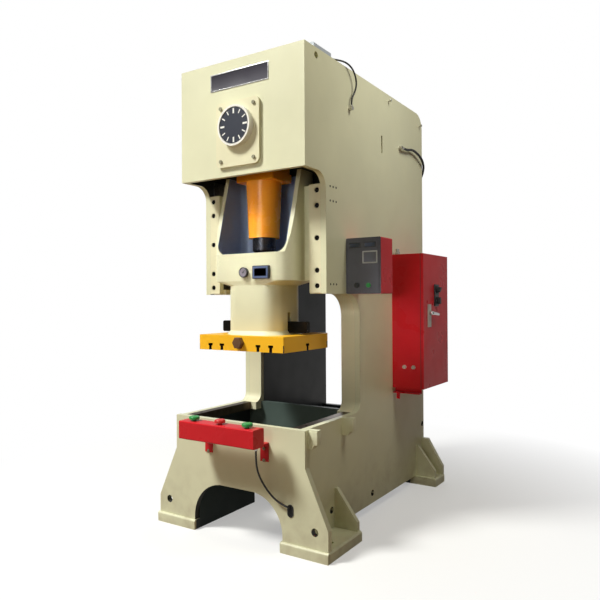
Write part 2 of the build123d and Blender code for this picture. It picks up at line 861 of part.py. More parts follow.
pulley_back = flywheel_front + belt_edge * 2 + belt_pitch * (belt_count - 1)
with BuildPart() as motor_pulley:
    round_bar(flywheel_front, pulley_back, pulley_radius, z=motor_z)
    grooves(pulley_radius, motor_z)
    round_bar(motor_back - motor_shaft_depth + 1, pulley_back + 6, motor_shaft_radius, z=motor_z)
save(motor_pulley, "motor_pulley")

with BuildPart() as v_belts:
    for index in range(belt_count):
        start = flywheel_front + belt_edge + index * belt_pitch - belt_width / 2
        loops = []
        for extra in (belt_t, 0):
            with BuildSketch(front_plane(start)) as loop:
                with Locations((0, pinion_z)):
                    Circle(flywheel_radius - groove_depth + 0.5 + extra)
                with Locations((0, motor_z)):
                    Circle(pulley_radius - groove_depth + 0.5 + extra)
                make_hull()
            loops.append(loop.sketch)
        extrude(loops[0] - loops[1], amount=-belt_width)
save(v_belts, "v_belts")

# Connecting rod: big end, flange and tapered barrel that holds the ball screw
bush_wall = 10.0
big_bore = pin_radius + running_clearance + bush_wall
big_half = 150.0
big_half_depth = 94.0
flange_half = 157.0
flange_half_depth = 112.0
flange_bottom = pin_z - 243.0
flange_top = pin_z - 186.0
barrel_top_radius = 122.0
barrel_bottom_radius = 105.0
barrel_bottom = ball_z + 232.0
rod_bolt_x = 126.0
rod_bolt_y = 55.0
rod_bolt_head = 21.0
rod_bolt_height = 22.0
cap_radius = 118.0
cap_ear = 62.0
big_front = ram_axis - big_half_depth
big_back = ram_axis + big_half_depth

with BuildPart() as con_rod:
    slab((-big_half, big_half), (big_front, big_back), (flange_top, pin_z))
    slab(
        (-flange_half, flange_half),
        (ram_axis - flange_half_depth, ram_axis + flange_half_depth),
        (flange_bottom, flange_top),
    )
    chamfer(con_rod.edges().filter_by(Axis.Z).group_by(Axis.Z)[0], 8)
    round_bar(big_front, big_back, big_bore, z=pin_z, mode=Mode.SUBTRACT)
    with BuildSketch(Plane.XY.offset(barrel_bottom)) as barrel_low:
        with Locations((0, behind(ram_axis))):
            Circle(barrel_bottom_radius)
    with BuildSketch(Plane.XY.offset(flange_bottom)) as barrel_high:
        with Locations((0, behind(ram_axis))):
            Circle(barrel_top_radius)
    loft([barrel_low.sketch, barrel_high.sketch])
    with BuildSketch(Plane.XY.offset(barrel_bottom)) as screw_bore:
        with Locations((0, behind(ram_axis))):
            Circle(screw_radius + slide_clearance)
    extrude(screw_bore.sketch, amount=flange_bottom - barrel_bottom, mode=Mode.SUBTRACT)
save(con_rod, "con_rod")

with BuildPart() as con_rod_cap:
    with BuildSketch(front_plane(big_front)) as cap:
        with Locations((0, pin_z)):
            Circle(cap_radius)
            Rectangle(2 * big_half, big_half, align=(Align.CENTER, Align.MIN), mode=Mode.INTERSECT)
        with Locations((0, pin_z)):
            Rectangle(2 * big_half, cap_ear, align=(Align.CENTER, Align.MIN))
    extrude(cap.sketch, amount=big_front - big_back)
    with BuildSketch(Plane.XY.offset(pin_z + cap_ear)) as heads:
        for x in (-rod_bolt_x, rod_bolt_x):
            for y in (-rod_bolt_y, rod_bolt_y):
                with Locations((x, behind(ram_axis) + y)):
                    RegularPolygon(rod_bolt_head, 6)
    extrude(heads.sketch, amount=rod_bolt_height)
    round_bar(big_front, big_back, big_bore, z=pin_z, mode=Mode.SUBTRACT)
save(con_rod_cap, "con_rod_cap")

with BuildPart() as crankpin_bush:
    round_bar(big_front, big_back, big_bore, z=pin_z)
    round_bar(big_front, big_back, pin_radius + running_clearance, z=pin_z, mode=Mode.SUBTRACT)
save(crankpin_bush, "crankpin_bush")

# Ball screw, turned as one piece
screw_top = flange_bottom - 20.0
neck_join = ball_z + sqrt(ball_radius**2 - ball_neck_radius**2)
screw_shoulder = barrel_bottom - 85.0
with BuildPart() as ball_screw:
    with BuildSketch(Plane(origin=(0, behind(ram_axis), 0), x_dir=(1, 0, 0), z_dir=(0, -1, 0))) as half:
        with BuildLine():
            Polyline(
                (0, screw_top),
                (screw_radius, screw_top),
                (screw_radius, screw_shoulder),
                (ball_neck_radius, screw_shoulder - 20),
                (ball_neck_radius, neck_join),
            )
            ThreePointArc((ball_neck_radius, neck_join), (ball_radius, ball_z), (0, ball_z - ball_radius))
            Line((0, ball_z - ball_radius), (0, screw_top))
        make_face()
    revolve(half.sketch, axis=Axis((0, behind(ram_axis), 0), (0, 0, 1)))
save(ball_screw, "ball_screw")

# Slide: a cast box with an open window, a neck below it and guide ears behind the gibs
slide_back = 2 * ram_axis - slide_front
neck_back = 2 * ram_axis - neck_front
seat_slot_x = throw + 2.0
seat_slot_radius = ball_radius + 4.0
seat_bottom = ball_z - ball_radius - seat_gap - seat_t
bar_slot_half = bar_t / 2 + bar_clearance


def rounded(x_half, front, back, radius, z):
    """Rounded rectangle across the ram axis, at height z."""
    with BuildSketch(Plane.XY.offset(z)) as outline:
        with Locations((0, behind((front + back) / 2))):
            RectangleRounded(2 * x_half, back - front, radius)
    return outline.sketch


with BuildPart() as slide_body:
    box = rounded(slide_half, slide_front, slide_back, slide_corner, slide_bottom)
    extrude(box, amount=slide_top - slide_bottom)
    with BuildSketch(Plane.XY.offset(ear_bottom)) as ears:
        with Locations((0, behind((ear_front + rail_front - slide_clearance) / 2))):
            Rectangle(2 * ear_outer, rail_front - slide_clearance - ear_front)
    extrude(ears.sketch, amount=ear_top - ear_bottom)
    inside = rounded(
        slide_half - slide_wall,
        slide_front + slide_wall,
        slide_back - slide_wall,
        slide_corner - slide_wall,
        slide_floor,
    )
    extrude(inside, amount=slide_top - slide_floor, mode=Mode.SUBTRACT)
    loft([box, rounded(neck_half, neck_front, neck_back, neck_corner, neck_top)])
    neck = rounded(neck_half, neck_front, neck_back, neck_corner, plate_top)
    extrude(neck, amount=neck_top - plate_top)
    skirt = rounded(
        neck_half + skirt_flare,
        neck_front - skirt_flare,
        neck_back + skirt_flare,
        neck_corner + skirt_flare,
        plate_top,
    )
    loft([skirt, rounded(neck_half, neck_front, neck_back, neck_corner, plate_top + skirt_height)])
    cut_top = window_cut_low + window_cut_slope * (slide_top + 10 - window_bottom)
    with BuildSketch(side_plane(-half_width)) as front_cut:
        Polygon(
            (behind(slide_front - 10), window_bottom),
            (behind(window_cut_low), window_bottom),
            (behind(cut_top), slide_top + 10),
            (behind(slide_front - 10), slide_top + 10),
            align=None,
        )
    extrude(front_cut.sketch, amount=2 * half_width, mode=Mode.SUBTRACT)
    with BuildSketch(front_plane(slide_front - 10)) as window:
        with Locations((0, window_bottom)):
            height_over = slide_top + 10 - window_bottom
            Rectangle(2 * window_half, height_over, align=(Align.CENTER, Align.MIN))
        fillet(window.vertices().group_by(Axis.Y)[0], window_corner)
    extrude(window.sketch, amount=-(slide_corner + 12), mode=Mode.SUBTRACT)
    with BuildSketch(Plane.XY.offset(seat_bottom)) as seat_recess:
        with Locations((0, behind(ram_axis))):
            SlotCenterToCenter(2 * seat_slot_x, 2 * seat_slot_radius)
    extrude(seat_recess.sketch, amount=slide_floor - seat_bottom, mode=Mode.SUBTRACT)
    with BuildSketch(side_plane(-half_width)) as bar_slot:
        slot_low = bar_bottom - slide_clearance
        slot_high = bar_bottom + bar_height + bar_travel + bar_clearance
        with Locations((behind(ram_axis), (slot_low + slot_high) / 2)):
            Rectangle(2 * bar_slot_half, slot_high - slot_low)
    extrude(bar_slot.sketch, amount=2 * half_width, mode=Mode.SUBTRACT)
    with BuildSketch(Plane.XY.offset(plate_top)) as shank:
        with Locations((0, behind(ram_axis))):
            Circle(shank_radius)
    extrude(shank.sketch, amount=bar_bottom - plate_top, mode=Mode.SUBTRACT)
save(slide_body, "slide_body")

# Seat under the ball and the retainer over it, both in the slide
with BuildPart() as ball_seat:
    with BuildSketch(Plane.XY.offset(seat_bottom)) as pad:
        with Locations((0, behind(ram_axis))):
            SlotCenterToCenter(2 * seat_slot_x, 2 * seat_slot_radius)
    extrude(pad.sketch, amount=seat_t)
save(ball_seat, "ball_seat")

with BuildPart() as ball_retainer:
    with BuildSketch(Plane.XY.offset(slide_floor)) as ring:
        with Locations((0, behind(ram_axis))):
            SlotCenterToCenter(2 * seat_slot_x, 2 * seat_slot_radius + 50)
            SlotCenterToCenter(2 * seat_slot_x, 2 * ball_neck_radius + 12, mode=Mode.SUBTRACT)
    extrude(ring.sketch, amount=retainer_t)
save(ball_retainer, "ball_retainer")

# Slide plate: T-slots to the front and to both sides, and the shank hole
clamp_z = plate_top - plate_t / 2 + clamp_bolt_rise


def t_slot(place):
    """Section of a T-slot that opens downwards, in the open sketch."""
    with Locations((place, plate_bottom)):
        Rectangle(slot_width, slot_depth, align=(Align.CENTER, Align.MIN))
    with Locations((place, plate_bottom + slot_depth - slot_head_height)):
        Rectangle(slot_head_width, slot_head_height, align=(Align.CENTER, Align.MIN))


with BuildPart() as slide_plate:
    slab((-plate_half, plate_half), (plate_front, plate_back), (plate_bottom, plate_top))
    fillet(slide_plate.edges().filter_by(Axis.Z).group_by(Axis.Y)[-1], plate_rear_radius)
    fillet(slide_plate.edges().filter_by(Axis.Z).group_by(Axis.Y)[0], 8)
    for x in slot_places:
        with BuildSketch(front_plane(plate_front)) as slot:
            t_slot(x)
        extrude(slot.sketch, amount=plate_front - plate_back, mode=Mode.SUBTRACT)
    for side in (-plate_half, side_slot_inner):
        with BuildSketch(side_plane(side)) as side_slot:
            t_slot(behind(ram_axis))
        extrude(side_slot.sketch, amount=plate_half - side_slot_inner, mode=Mode.SUBTRACT)
    with BuildSketch(Plane.XY.offset(plate_bottom)) as shank_hole:
        with Locations((0, behind(ram_axis))):
            Circle(shank_radius)
    extrude(shank_hole.sketch, amount=plate_t, mode=Mode.SUBTRACT)
    round_bar(plate_front, ram_axis, clamp_bolt_radius, 0, clamp_z, Mode.SUBTRACT)
save(slide_plate, "slide_plate")

with BuildPart() as shank_clamp_bolt:
    round_bar(plate_front, ram_axis - shank_radius - 4, clamp_bolt_radius, 0, clamp_z)
    with BuildSketch(front_plane(plate_front)) as head:
        with Locations((0, clamp_z)):
            RegularPolygon(clamp_bolt_head, 6)
    extrude(head.sketch, amount=clamp_head_height)
    chamfer(shank_clamp_bolt.faces().sort_by(Axis.Y)[0].edges(), 4)
save(shank_clamp_bolt, "shank_clamp_bolt")

with BuildPart() as knock_out_bar:
    slab(
        (-bar_half_length, bar_half_length),
        (ram_axis - bar_t / 2, ram_axis + bar_t / 2),
        (bar_bottom, bar_bottom + bar_height),
    )
    chamfer(knock_out_bar.edges().filter_by(Axis.Y), 8)
save(knock_out_bar, "knock_out_bar")

# Air gauge and height display on the slide's front
gauge_x = -21.0
gauge_z = slide_bottom + 56.0
gauge_radius = 32.0
display_x = (55.0, 186.0)
display_z = (slide_bottom + 11.0, slide_bottom + 97.0)
display_t = 18.0
gauge_t = 14.0
with BuildPart() as slide_instruments:
    slab(display_x, (slide_front - display_t, slide_front), display_z)
    fillet(slide_instruments.edges().filter_by(Axis.Y), 6)
    round_bar(slide_front - gauge_t, slide_front, gauge_radius, gauge_x, gauge_z)
save(slide_instruments, "slide_instruments")

# Crank cover plate and dial on the head
with BuildPart() as crank_cover:
    slab((-cover_half, cover_half), (-cover_t, 0), (cover_bottom, cover_top))
    fillet(crank_cover.edges().filter_by(Axis.Y), cover_corner)
    round_bar(-cover_t, 0, stub_radius + 2, z=crank_z, mode=Mode.SUBTRACT)
save(crank_cover, "crank_cover")

with BuildPart() as dial_ring:
    round_bar(-cover_t - dial_proud, -cover_t, dial_ring_radius, z=crank_z)
    inner = dial_ring_radius - dial_ring_t
    round_bar(-cover_t - dial_proud, -cover_t - 4, inner, z=crank_z, mode=Mode.SUBTRACT)
    round_bar(-cover_t - 4, -cover_t, stub_radius + 2, z=crank_z, mode=Mode.SUBTRACT)
save(dial_ring, "dial_ring")

disc_back = -stub_front
with BuildPart() as dial_disc:
    round_bar(disc_back - dial_disc_t, disc_back, dial_disc_radius, z=crank_z)
save(dial_disc, "dial_disc")

# Low cover on the right of the head's top
top_cover_y = (129.0, 340.0)
top_cover_x = (half_width - 95.0, half_width - 12.0)
top_cover_height = 38.0
with BuildPart() as top_cover:
    slab(top_cover_x, top_cover_y, (height, height + top_cover_height))
    fillet(top_cover.edges().filter_by(Axis.Y).group_by(Axis.Z)[-1], 10)
save(top_cover, "top_cover")

# Electrical cabinet: an open shell on the side plate with a bracket below it, and a hinged door
shell_face = cabinet_face - door_t - door_gap
with BuildPart() as cabinet_shell:
    slab((half_width, shell_face), (cabinet_front, cabinet_back), (cabinet_bottom, cabinet_top))
    slab(
        (half_width + cabinet_wall, shell_face),
        (cabinet_front + cabinet_wall, cabinet_back - cabinet_wall),
        (cabinet_bottom + cabinet_wall, cabinet_top - cabinet_wall),
        mode=Mode.SUBTRACT,
    )
    flange_z = cabinet_bottom - bracket_drop
    bracket_end = half_width + bracket_reach
    web_y = (cabinet_front + 50, cabinet_front + 50 + bracket_t)
    slab((half_width, bracket_end), (cabinet_front + 6, web_y[1]), (flange_z - bracket_t, flange_z))
    slab((half_width, bracket_end), web_y, (flange_z, cabinet_bottom))
    slab(tab_x, (cabinet_front + 6, cabinet_front + 6 + bracket_t), (cabinet_bottom - tab_drop, flange_z))
save(cabinet_shell, "cabinet_shell")

gear_plate_x = half_width + cabinet_wall
with BuildPart() as control_gear:
    slab(
        (gear_plate_x, gear_plate_x + gear_plate_t),
        (cabinet_front + gear_margin, cabinet_back - gear_margin),
        (cabinet_bottom + gear_margin, cabinet_top - gear_margin),
    )
    device_x = gear_plate_x + gear_plate_t
    for drop, count, width, tall in device_rows:
        z = cabinet_top - drop
        step = (cabinet_back - cabinet_front - 100) / count
        for index in range(count):
            start = cabinet_front + 50 + index * step
            slab((device_x, device_x + device_depth), (start, start + width), (z - tall / 2, z + tall / 2))
    slab(
        (device_x, device_x + unit_depth),
        (cabinet_front + unit_margin, cabinet_back - unit_margin),
        (cabinet_bottom + unit_rise[0], cabinet_bottom + unit_rise[1]),
    )
save(control_gear, "control_gear")

door_back_x = cabinet_face - door_t
with BuildPart() as cabinet_door:
    slab((door_back_x, cabinet_face), (cabinet_front, cabinet_back), (cabinet_bottom, cabinet_top))
    slab(
        (door_back_x, cabinet_face - door_skin),
        (cabinet_front + door_skin, cabinet_back - door_skin),
        (cabinet_bottom + door_skin, cabinet_top - door_skin),
        mode=Mode.SUBTRACT,
    )
    slab(
        (cabinet_face - 16, cabinet_face - door_skin),
        (handle_y - 40, handle_y + 40),
        (handle_z - 130, handle_z + 130),
    )
save(cabinet_door, "cabinet_door")

hinge_y = cabinet_back + hinge_radius + slide_clearance
hinge_heights = (cabinet_bottom + hinge_inset, cabinet_top - hinge_inset)
half_hinge = hinge_length / 2
with BuildPart() as cabinet_hinges:
    for z in hinge_heights:
        with BuildSketch(Plane.XY.offset(z - half_hinge)) as barrel:
            with Locations((door_back_x, behind(hinge_y))):
                Circle(hinge_radius)
        extrude(barrel.sketch, amount=hinge_length)
        leaf_z = (z - half_hinge, z + half_hinge)
        slab((shell_face - 34, shell_face), (cabinet_back, cabinet_back + 3), leaf_z)
save(cabinet_hinges, "cabinet_hinges")

# Plates on the door's face and the rubber gasket behind its rim
plate_x = cabinet_face
with BuildPart() as door_plates:
    gasket_x = (shell_face + slide_clearance, door_back_x)
    slab(gasket_x, (cabinet_front, cabinet_back), (cabinet_bottom, cabinet_top))
    slab(
        gasket_x,
        (cabinet_front + gasket_width, cabinet_back - gasket_width),
        (cabinet_bottom + gasket_width, cabinet_top - gasket_width),
        mode=Mode.SUBTRACT,
    )
    slab((plate_x, plate_x + 8), (handle_y - 30, handle_y + 30), (handle_z - 108, handle_z + 66))
    for z in switch_z:
        slab(
            (plate_x, plate_x + 10),
            (switch_y - switch_size / 2, switch_y + switch_size / 2),
            (z - switch_size / 2, z + switch_size / 2),
        )
save(door_plates, "door_plates")

with BuildPart() as door_handle:
    with BuildSketch(side_plane(plate_x + 8 + slide_clearance)) as boss:
        with Locations((behind(handle_y), handle_z)):
            Circle(17)
    extrude(boss.sketch, amount=24)
    with BuildSketch(side_plane(plate_x + 20)) as lever:
        with Locations((behind(handle_y + 80), handle_z - 18)):
            SlotOverall(handle_length, handle_width, rotation=-13)
    extrude(lever.sketch, amount=14)
save(door_handle, "door_handle")


def switch_knob(z, turn, node):
    """Round knob with a bar grip, on a switch plate."""
    start = plate_x + 10 + slide_clearance
    with BuildPart() as knob:
        with BuildSketch(side_plane(start)) as base:
            with Locations((behind(switch_y), z)):
                Circle(knob_radius)
        extrude(base.sketch, amount=10)
        with BuildSketch(side_plane(start + 10)) as grip:
            with Locations((behind(switch_y), z)):
                SlotOverall(1.8 * knob_radius, 16, rotation=turn)
        extrude(grip.sketch, amount=22)
    save(knob, node)


switch_knob(switch_z[0], 45, "main_switch_knob")
switch_knob(switch_z[1], 90, "light_switch_knob")

# Control panel: housing with a raised fascia, a push button and a selector
with BuildPart() as panel_box:
    slab((half_width, panel_outer), (panel_front, panel_back), (panel_bottom, panel_top))
    fillet(panel_box.edges().filter_by(Axis.Y), 10)
    fascia_front = panel_front - fascia_t
    slab(
        (half_width + fascia_border, panel_outer - fascia_border),
        (fascia_front, panel_front),
        (panel_bottom + fascia_border, panel_top - fascia_border),
    )
    recess_back = fascia_front + button_recess
    bore = button_radius + slide_clearance
    round_bar(fascia_front, recess_back, bore, run_button_x, run_button_z, Mode.SUBTRACT)
save(panel_box, "panel_box")


with BuildPart() as run_button:
    button_back = recess_back - button_travel - 1
    round_bar(fascia_front - button_proud, button_back, button_radius, run_button_x, run_button_z)
    chamfer(run_button.faces().sort_by(Axis.Y)[0].edges(), 2)
save(run_button, "run_button")

selector_z = run_button_z
with BuildPart() as mode_selector:
    seat = fascia_front - slide_clearance
    round_bar(seat - 8, seat, 19, selector_x, selector_z)
    with BuildSketch(front_plane(seat - 8)) as grip:
        with Locations((selector_x, selector_z)):
            SlotOverall(36, 11, rotation=90)
    extrude(grip.sketch, amount=14)
save(mode_selector, "mode_selector")

# Two-hand console on its straps, with palm buttons and a stop button
with BuildPart() as console_box:
    slab((-console_half, console_half), (console_front, console_back), (console_bottom, console_top))
    fillet(console_box.edges().filter_by(Axis.X), 8)
    with BuildSketch(Plane.XY.offset(console_top)) as stem_bores:
        with Locations(*[(x, behind(console_middle)) for x in (-palm_x, 0, palm_x)]):
            Circle(palm_stem_radius + slide_clearance)
    extrude(stem_bores.sketch, amount=-palm_stem_bore, mode=Mode.SUBTRACT)
save(console_box, "console_box")

with BuildPart() as console_straps:
    for x in (-strap_x, strap_x):
        with BuildSketch(side_plane(x - strap_width / 2)) as strap:
            Polygon(
                (behind(-base_overhang), strap_bottom),
                (behind(-base_overhang), console_bottom),
                (behind(console_front + 24), console_bottom),
                (behind(console_front + 24), console_bottom - strap_t),
                (behind(-base_overhang - strap_t), console_bottom - strap_t),
                (behind(-base_overhang - strap_t), strap_bottom),
                align=None,
            )
        extrude(strap.sketch, amount=strap_width)
save(console_straps, "console_straps")


def palm_button(x, node):
    """Mushroom button on the console's top."""
    axis_y = behind(console_middle)
    stem_bottom = console_top - palm_stem_bore + palm_travel + 1
    cap_bottom = console_top + palm_travel + 3
    with BuildPart() as button:
        with BuildSketch(Plane.XY.offset(stem_bottom)) as stem:
            with Locations((x, axis_y)):
                Circle(palm_stem_radius)
        extrude(stem.sketch, amount=cap_bottom - stem_bottom)
        with BuildSketch(Plane.XY.offset(cap_bottom)) as cap:
            with Locations((x, axis_y)):
                Circle(palm_radius)
        extrude(cap.sketch, amount=console_top + palm_height - cap_bottom)
        fillet(button.faces().sort_by(Axis.Z)[-1].edges(), 9)
    save(button, node)


palm_button(-palm_x, "left_palm_button")
palm_button(palm_x, "right_palm_button")
palm_button(0, "console_stop_button")

# Hexagon bolt heads on the crank cover and on the console's straps
cover_bolt_head = 13.0
cover_bolt_t = 9.0
strap_bolt_head = 11.0
strap_bolt_t = 8.0
with BuildPart() as hex_bolts:
    with BuildSketch(front_plane(-cover_t)) as cover_heads:
        for z in cover_bolt_z:
            with Locations((-cover_bolt_x, z), (cover_bolt_x, z)):
                RegularPolygon(cover_bolt_head, 6)
    extrude(cover_heads.sketch, amount=cover_bolt_t)
    with BuildSketch(front_plane(-base_overhang - strap_t)) as strap_heads:
        for z in strap_bolt_z:
            with Locations((-strap_x, z), (strap_x, z)):
                RegularPolygon(strap_bolt_head, 6)
    extrude(strap_heads.sketch, amount=strap_bolt_t)
save(hex_bolts, "hex_bolts")

# Hose fittings, hooks and cable glands
hook_spots = ((1188.0, height - 51.0), (depth - 63.0, height - 100.0))
gland_places = (half_width + 103.0, half_width + 177.0)
gland_z = cabinet_bottom + 164.0
conduit_x = half_width + 35.0
conduit_y = cabinet_front + 28.0
console_gland = (276.0, -193.0)
console_gland_length = 16.0
side_fitting = (562.0, height - 274.0)
side_fitting_top = height - 252.0
side_fitting_x = half_width + 18.0
rear_fitting = (depth - 472.0, height - 370.0)
rear_fitting_end = depth - 446.0
rear_fitting_x = half_width + 22.0
union_port_x = 58.0
with BuildPart() as pipe_fittings:
    for y, z in hook_spots:
        with BuildSketch(side_plane(half_width)) as stem:
            with Locations((behind(y), z)):
                RegularPolygon(6, 8)
        extrude(stem.sketch, amount=26)
        with BuildSketch(side_plane(half_width + 18)) as lip:
            with Locations((behind(y), z + 6)):
                RegularPolygon(10, 8)
        extrude(lip.sketch, amount=8)
    for x in gland_places:
        with BuildSketch(front_plane(cabinet_front)) as nut:
            with Locations((x, gland_z)):
                RegularPolygon(16, 6)
        extrude(nut.sketch, amount=12)
        with BuildSketch(front_plane(cabinet_front - 12)) as nose:
            with Locations((x, gland_z)):
                RegularPolygon(11, 8)
        extrude(nose.sketch, amount=14)
    with BuildSketch(Plane.XY.offset(cabinet_top)) as conduit_nut:
        with Locations((conduit_x, behind(conduit_y))):
            RegularPolygon(22, 6)
    extrude(conduit_nut.sketch, amount=22)
    with BuildSketch(Plane.XY.offset(cabinet_top + 22)) as conduit_nose:
        with Locations((conduit_x, behind(conduit_y))):
            RegularPolygon(15, 10)
    extrude(conduit_nose.sketch, amount=22)
    with BuildSketch(Plane.XY.offset(console_bottom)) as cable_nut:
        with Locations((console_gland[0], behind(console_gland[1]))):
            RegularPolygon(12, 6)
    extrude(cable_nut.sketch, amount=-console_gland_length)
    with BuildSketch(side_plane(half_width)) as elbows:
        for y, z in (side_fitting, rear_fitting):
            with Locations((behind(y), z)):
                RegularPolygon(15, 6)
    extrude(elbows.sketch, amount=side_fitting_x - half_width + 10)
    with BuildSketch(Plane.XY.offset(side_fitting[1])) as side_nose:
        with Locations((side_fitting_x, behind(side_fitting[0]))):
            Circle(9)
    extrude(side_nose.sketch, amount=side_fitting_top - side_fitting[1])
    round_bar(rear_fitting[0], rear_fitting_end, 12, rear_fitting_x, rear_fitting[1])
    with BuildSketch(side_plane(union_radius)) as union_port:
        with Locations((behind(union_port_y), pinion_z)):
            Circle(12)
    extrude(union_port.sketch, amount=union_port_x - union_radius)
save(pipe_fittings, "pipe_fittings")

# Cords: each is a tube along straight runs joined by tangent arcs
run_share = 0.45


def cord(points, radius, node, start):
    """Tube of a free cord through points counted from start, a place given as X,
    distance behind the front and Z."""
    places = [Vector(start[0] + x, behind(start[1] + y), start[2] + z) for x, y, z in points]
    radii = []
    for before, corner, after in zip(places, places[1:], places[2:]):
        arriving = corner - before
        leaving = after - corner
        half_turn = radians(arriving.get_angle(leaving)) / 2
        radii.append(run_share * min(arriving.length, leaving.length) / tan(half_turn))
    with BuildPart() as tube:
        with BuildLine() as route:
            FilletPolyline(*places, radius=radii)
        path = route.wire()
        with BuildSketch(Plane(origin=path @ 0, z_dir=path % 0)):
            Circle(radius)
        sweep(path=path)
    save(tube, node)
    filled = tube.part.volume / (pi * radius**2 * path.length)
    print(node, "length", round(path.length), "volume ratio", round(filled, 4))
    print("radii", [round(r) for r in radii])


console_cable_route = (
    (276, -193, -16),
    (276, -193, -90),
    (268, -160, -164),
    (270, -118, -232),
    (296, -88, -294),
    (338, -72, -338),
    (384, -64, -359),
    (414, -61, -368),
    (421, -32, -377),
    (421, 12, -384),
)
cord(console_cable_route, cable_radius, "console_cable", (0, 0, console_bottom))

side_hose_route = (
    (-40, 340, 19),
    (-40, 392, 19),
    (-18, 446, 26),
    (10, 498, 23),
    (26, 554, 2),
    (31, 598, -44),
    (30, 614, -102),
    (24, 596, -158),
    (18, 562, -206),
    (18, 562, -252),
)
cord(side_hose_route, hose_radius, "side_hose", (half_width, 0, height))

rear_hose_route = (
    (22, -446, -370),
    (22, -370, -370),
    (23, -260, -342),
    (25, -140, -358),
    (26, -50, -392),
    (6, 32, -452),
    (-48, 60, -550),
    (-105, 60, -670),
    (-165, 56, -785),
    (-248, 48, -870),
    (-334, 32, -898),
    (-398, 21, -880),
    (-452, 21, -880),
)
cord(rear_hose_route, air_hose_radius, "rear_hose", (half_width, depth, height))
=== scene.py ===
from math import pi, radians

import bpy
from mathutils import Euler, Matrix, Vector


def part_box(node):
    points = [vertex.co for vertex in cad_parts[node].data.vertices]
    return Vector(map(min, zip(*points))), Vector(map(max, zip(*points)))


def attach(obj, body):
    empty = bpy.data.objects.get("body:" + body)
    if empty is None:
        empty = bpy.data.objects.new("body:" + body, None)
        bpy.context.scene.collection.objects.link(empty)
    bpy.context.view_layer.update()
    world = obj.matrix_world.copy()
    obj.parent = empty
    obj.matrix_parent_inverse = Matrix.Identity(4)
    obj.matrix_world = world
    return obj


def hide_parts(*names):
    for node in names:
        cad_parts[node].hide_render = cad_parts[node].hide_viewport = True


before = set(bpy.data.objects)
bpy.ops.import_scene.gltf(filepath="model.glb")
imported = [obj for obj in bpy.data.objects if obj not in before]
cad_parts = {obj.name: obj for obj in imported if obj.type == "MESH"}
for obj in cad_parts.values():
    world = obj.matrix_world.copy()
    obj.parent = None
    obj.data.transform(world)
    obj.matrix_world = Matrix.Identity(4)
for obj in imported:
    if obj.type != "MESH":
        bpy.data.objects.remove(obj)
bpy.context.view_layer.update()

# Faces and edges of the frame that the new pieces and finishes are placed by
head_low, head_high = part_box("head_front_plate")
roof_low, roof_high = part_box("head_top_plate")
side_low, side_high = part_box("right_side_plate")
slide_low, slide_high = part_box("slide_body")
plate_low, plate_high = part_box("slide_plate")
base_low, base_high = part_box("base_front_plate")
foot_low, foot_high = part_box("foot_plates")
dial_low, dial_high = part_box("dial_disc")
panel_low, panel_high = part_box("panel_box")
handle_low, handle_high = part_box("door_handle")
shell_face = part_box("cabinet_shell")[1].x
guard_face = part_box("rear_guard")[0].y
instruments_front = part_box("slide_instruments")[0].y
inner_wall = side_low.x
outer_wall = head_high.x


# Camera, solved from the straight edges of the machine in the photograph
PHOTO_SIDE = 600
PHOTO_CENTRE = (313.64, 295.80)
FOCAL_PIXELS = 605.68
CAMERA_PLACE = (2.5058, -4.0019, 1.5377)
CAMERA_YAW = 32.244
CAMERA_PITCH = 0.405
CAMERA_ROLL = -0.301


def make_camera():
    """Camera at the photograph's place, with its framing as lens and shift."""
    data = bpy.data.cameras.new("camera")
    data.sensor_width = 36
    data.lens = data.sensor_width * FOCAL_PIXELS / PHOTO_SIDE
    data.shift_x = (PHOTO_SIDE / 2 - PHOTO_CENTRE[0]) / PHOTO_SIDE
    data.shift_y = (PHOTO_CENTRE[1] - PHOTO_SIDE / 2) / PHOTO_SIDE
    camera = bpy.data.objects.new("camera", data)
    camera.location = CAMERA_PLACE
    level = Euler((radians(90 + CAMERA_PITCH), 0, radians(CAMERA_YAW))).to_matrix()
    camera.rotation_euler = (level @ Matrix.Rotation(radians(CAMERA_ROLL), 3, "Z")).to_euler()
    bpy.context.scene.collection.objects.link(camera)
    bpy.context.scene.camera = camera


make_camera()


# Cords: the console's cable, the small hose of the head and the air hose at the rear
CONSOLE_CABLE = (
    (0.276, -1.123, 0.640),
    (0.276, -1.123, 0.566),
    (0.268, -1.090, 0.492),
    (0.270, -1.048, 0.424),
    (0.296, -1.018, 0.362),
    (0.338, -1.002, 0.318),
    (0.384, -0.994, 0.297),
    (0.414, -0.991, 0.288),
    (0.421, -0.962, 0.279),
    (0.421, -0.918, 0.272),
)
SIDE_HOSE = (
    (0.470, -0.590, 3.139),
    (0.470, -0.538, 3.139),
    (0.492, -0.484, 3.146),
    (0.520, -0.432, 3.143),
    (0.536, -0.376, 3.122),
    (0.541, -0.332, 3.076),
    (0.540, -0.316, 3.018),
    (0.534, -0.334, 2.962),
    (0.528, -0.368, 2.914),
    (0.528, -0.368, 2.868),
)
REAR_HOSE = (
    (0.532, 0.484, 2.750),
    (0.532, 0.560, 2.750),
    (0.533, 0.670, 2.778),
    (0.535, 0.790, 2.762),
    (0.536, 0.880, 2.728),
    (0.516, 0.962, 2.668),
    (0.462, 0.990, 2.570),
    (0.405, 0.990, 2.450),
    (0.345, 0.986, 2.335),
    (0.262, 0.978, 2.250),
    (0.176, 0.962, 2.222),
    (0.112, 0.951, 2.240),
    (0.058, 0.951, 2.240),
)


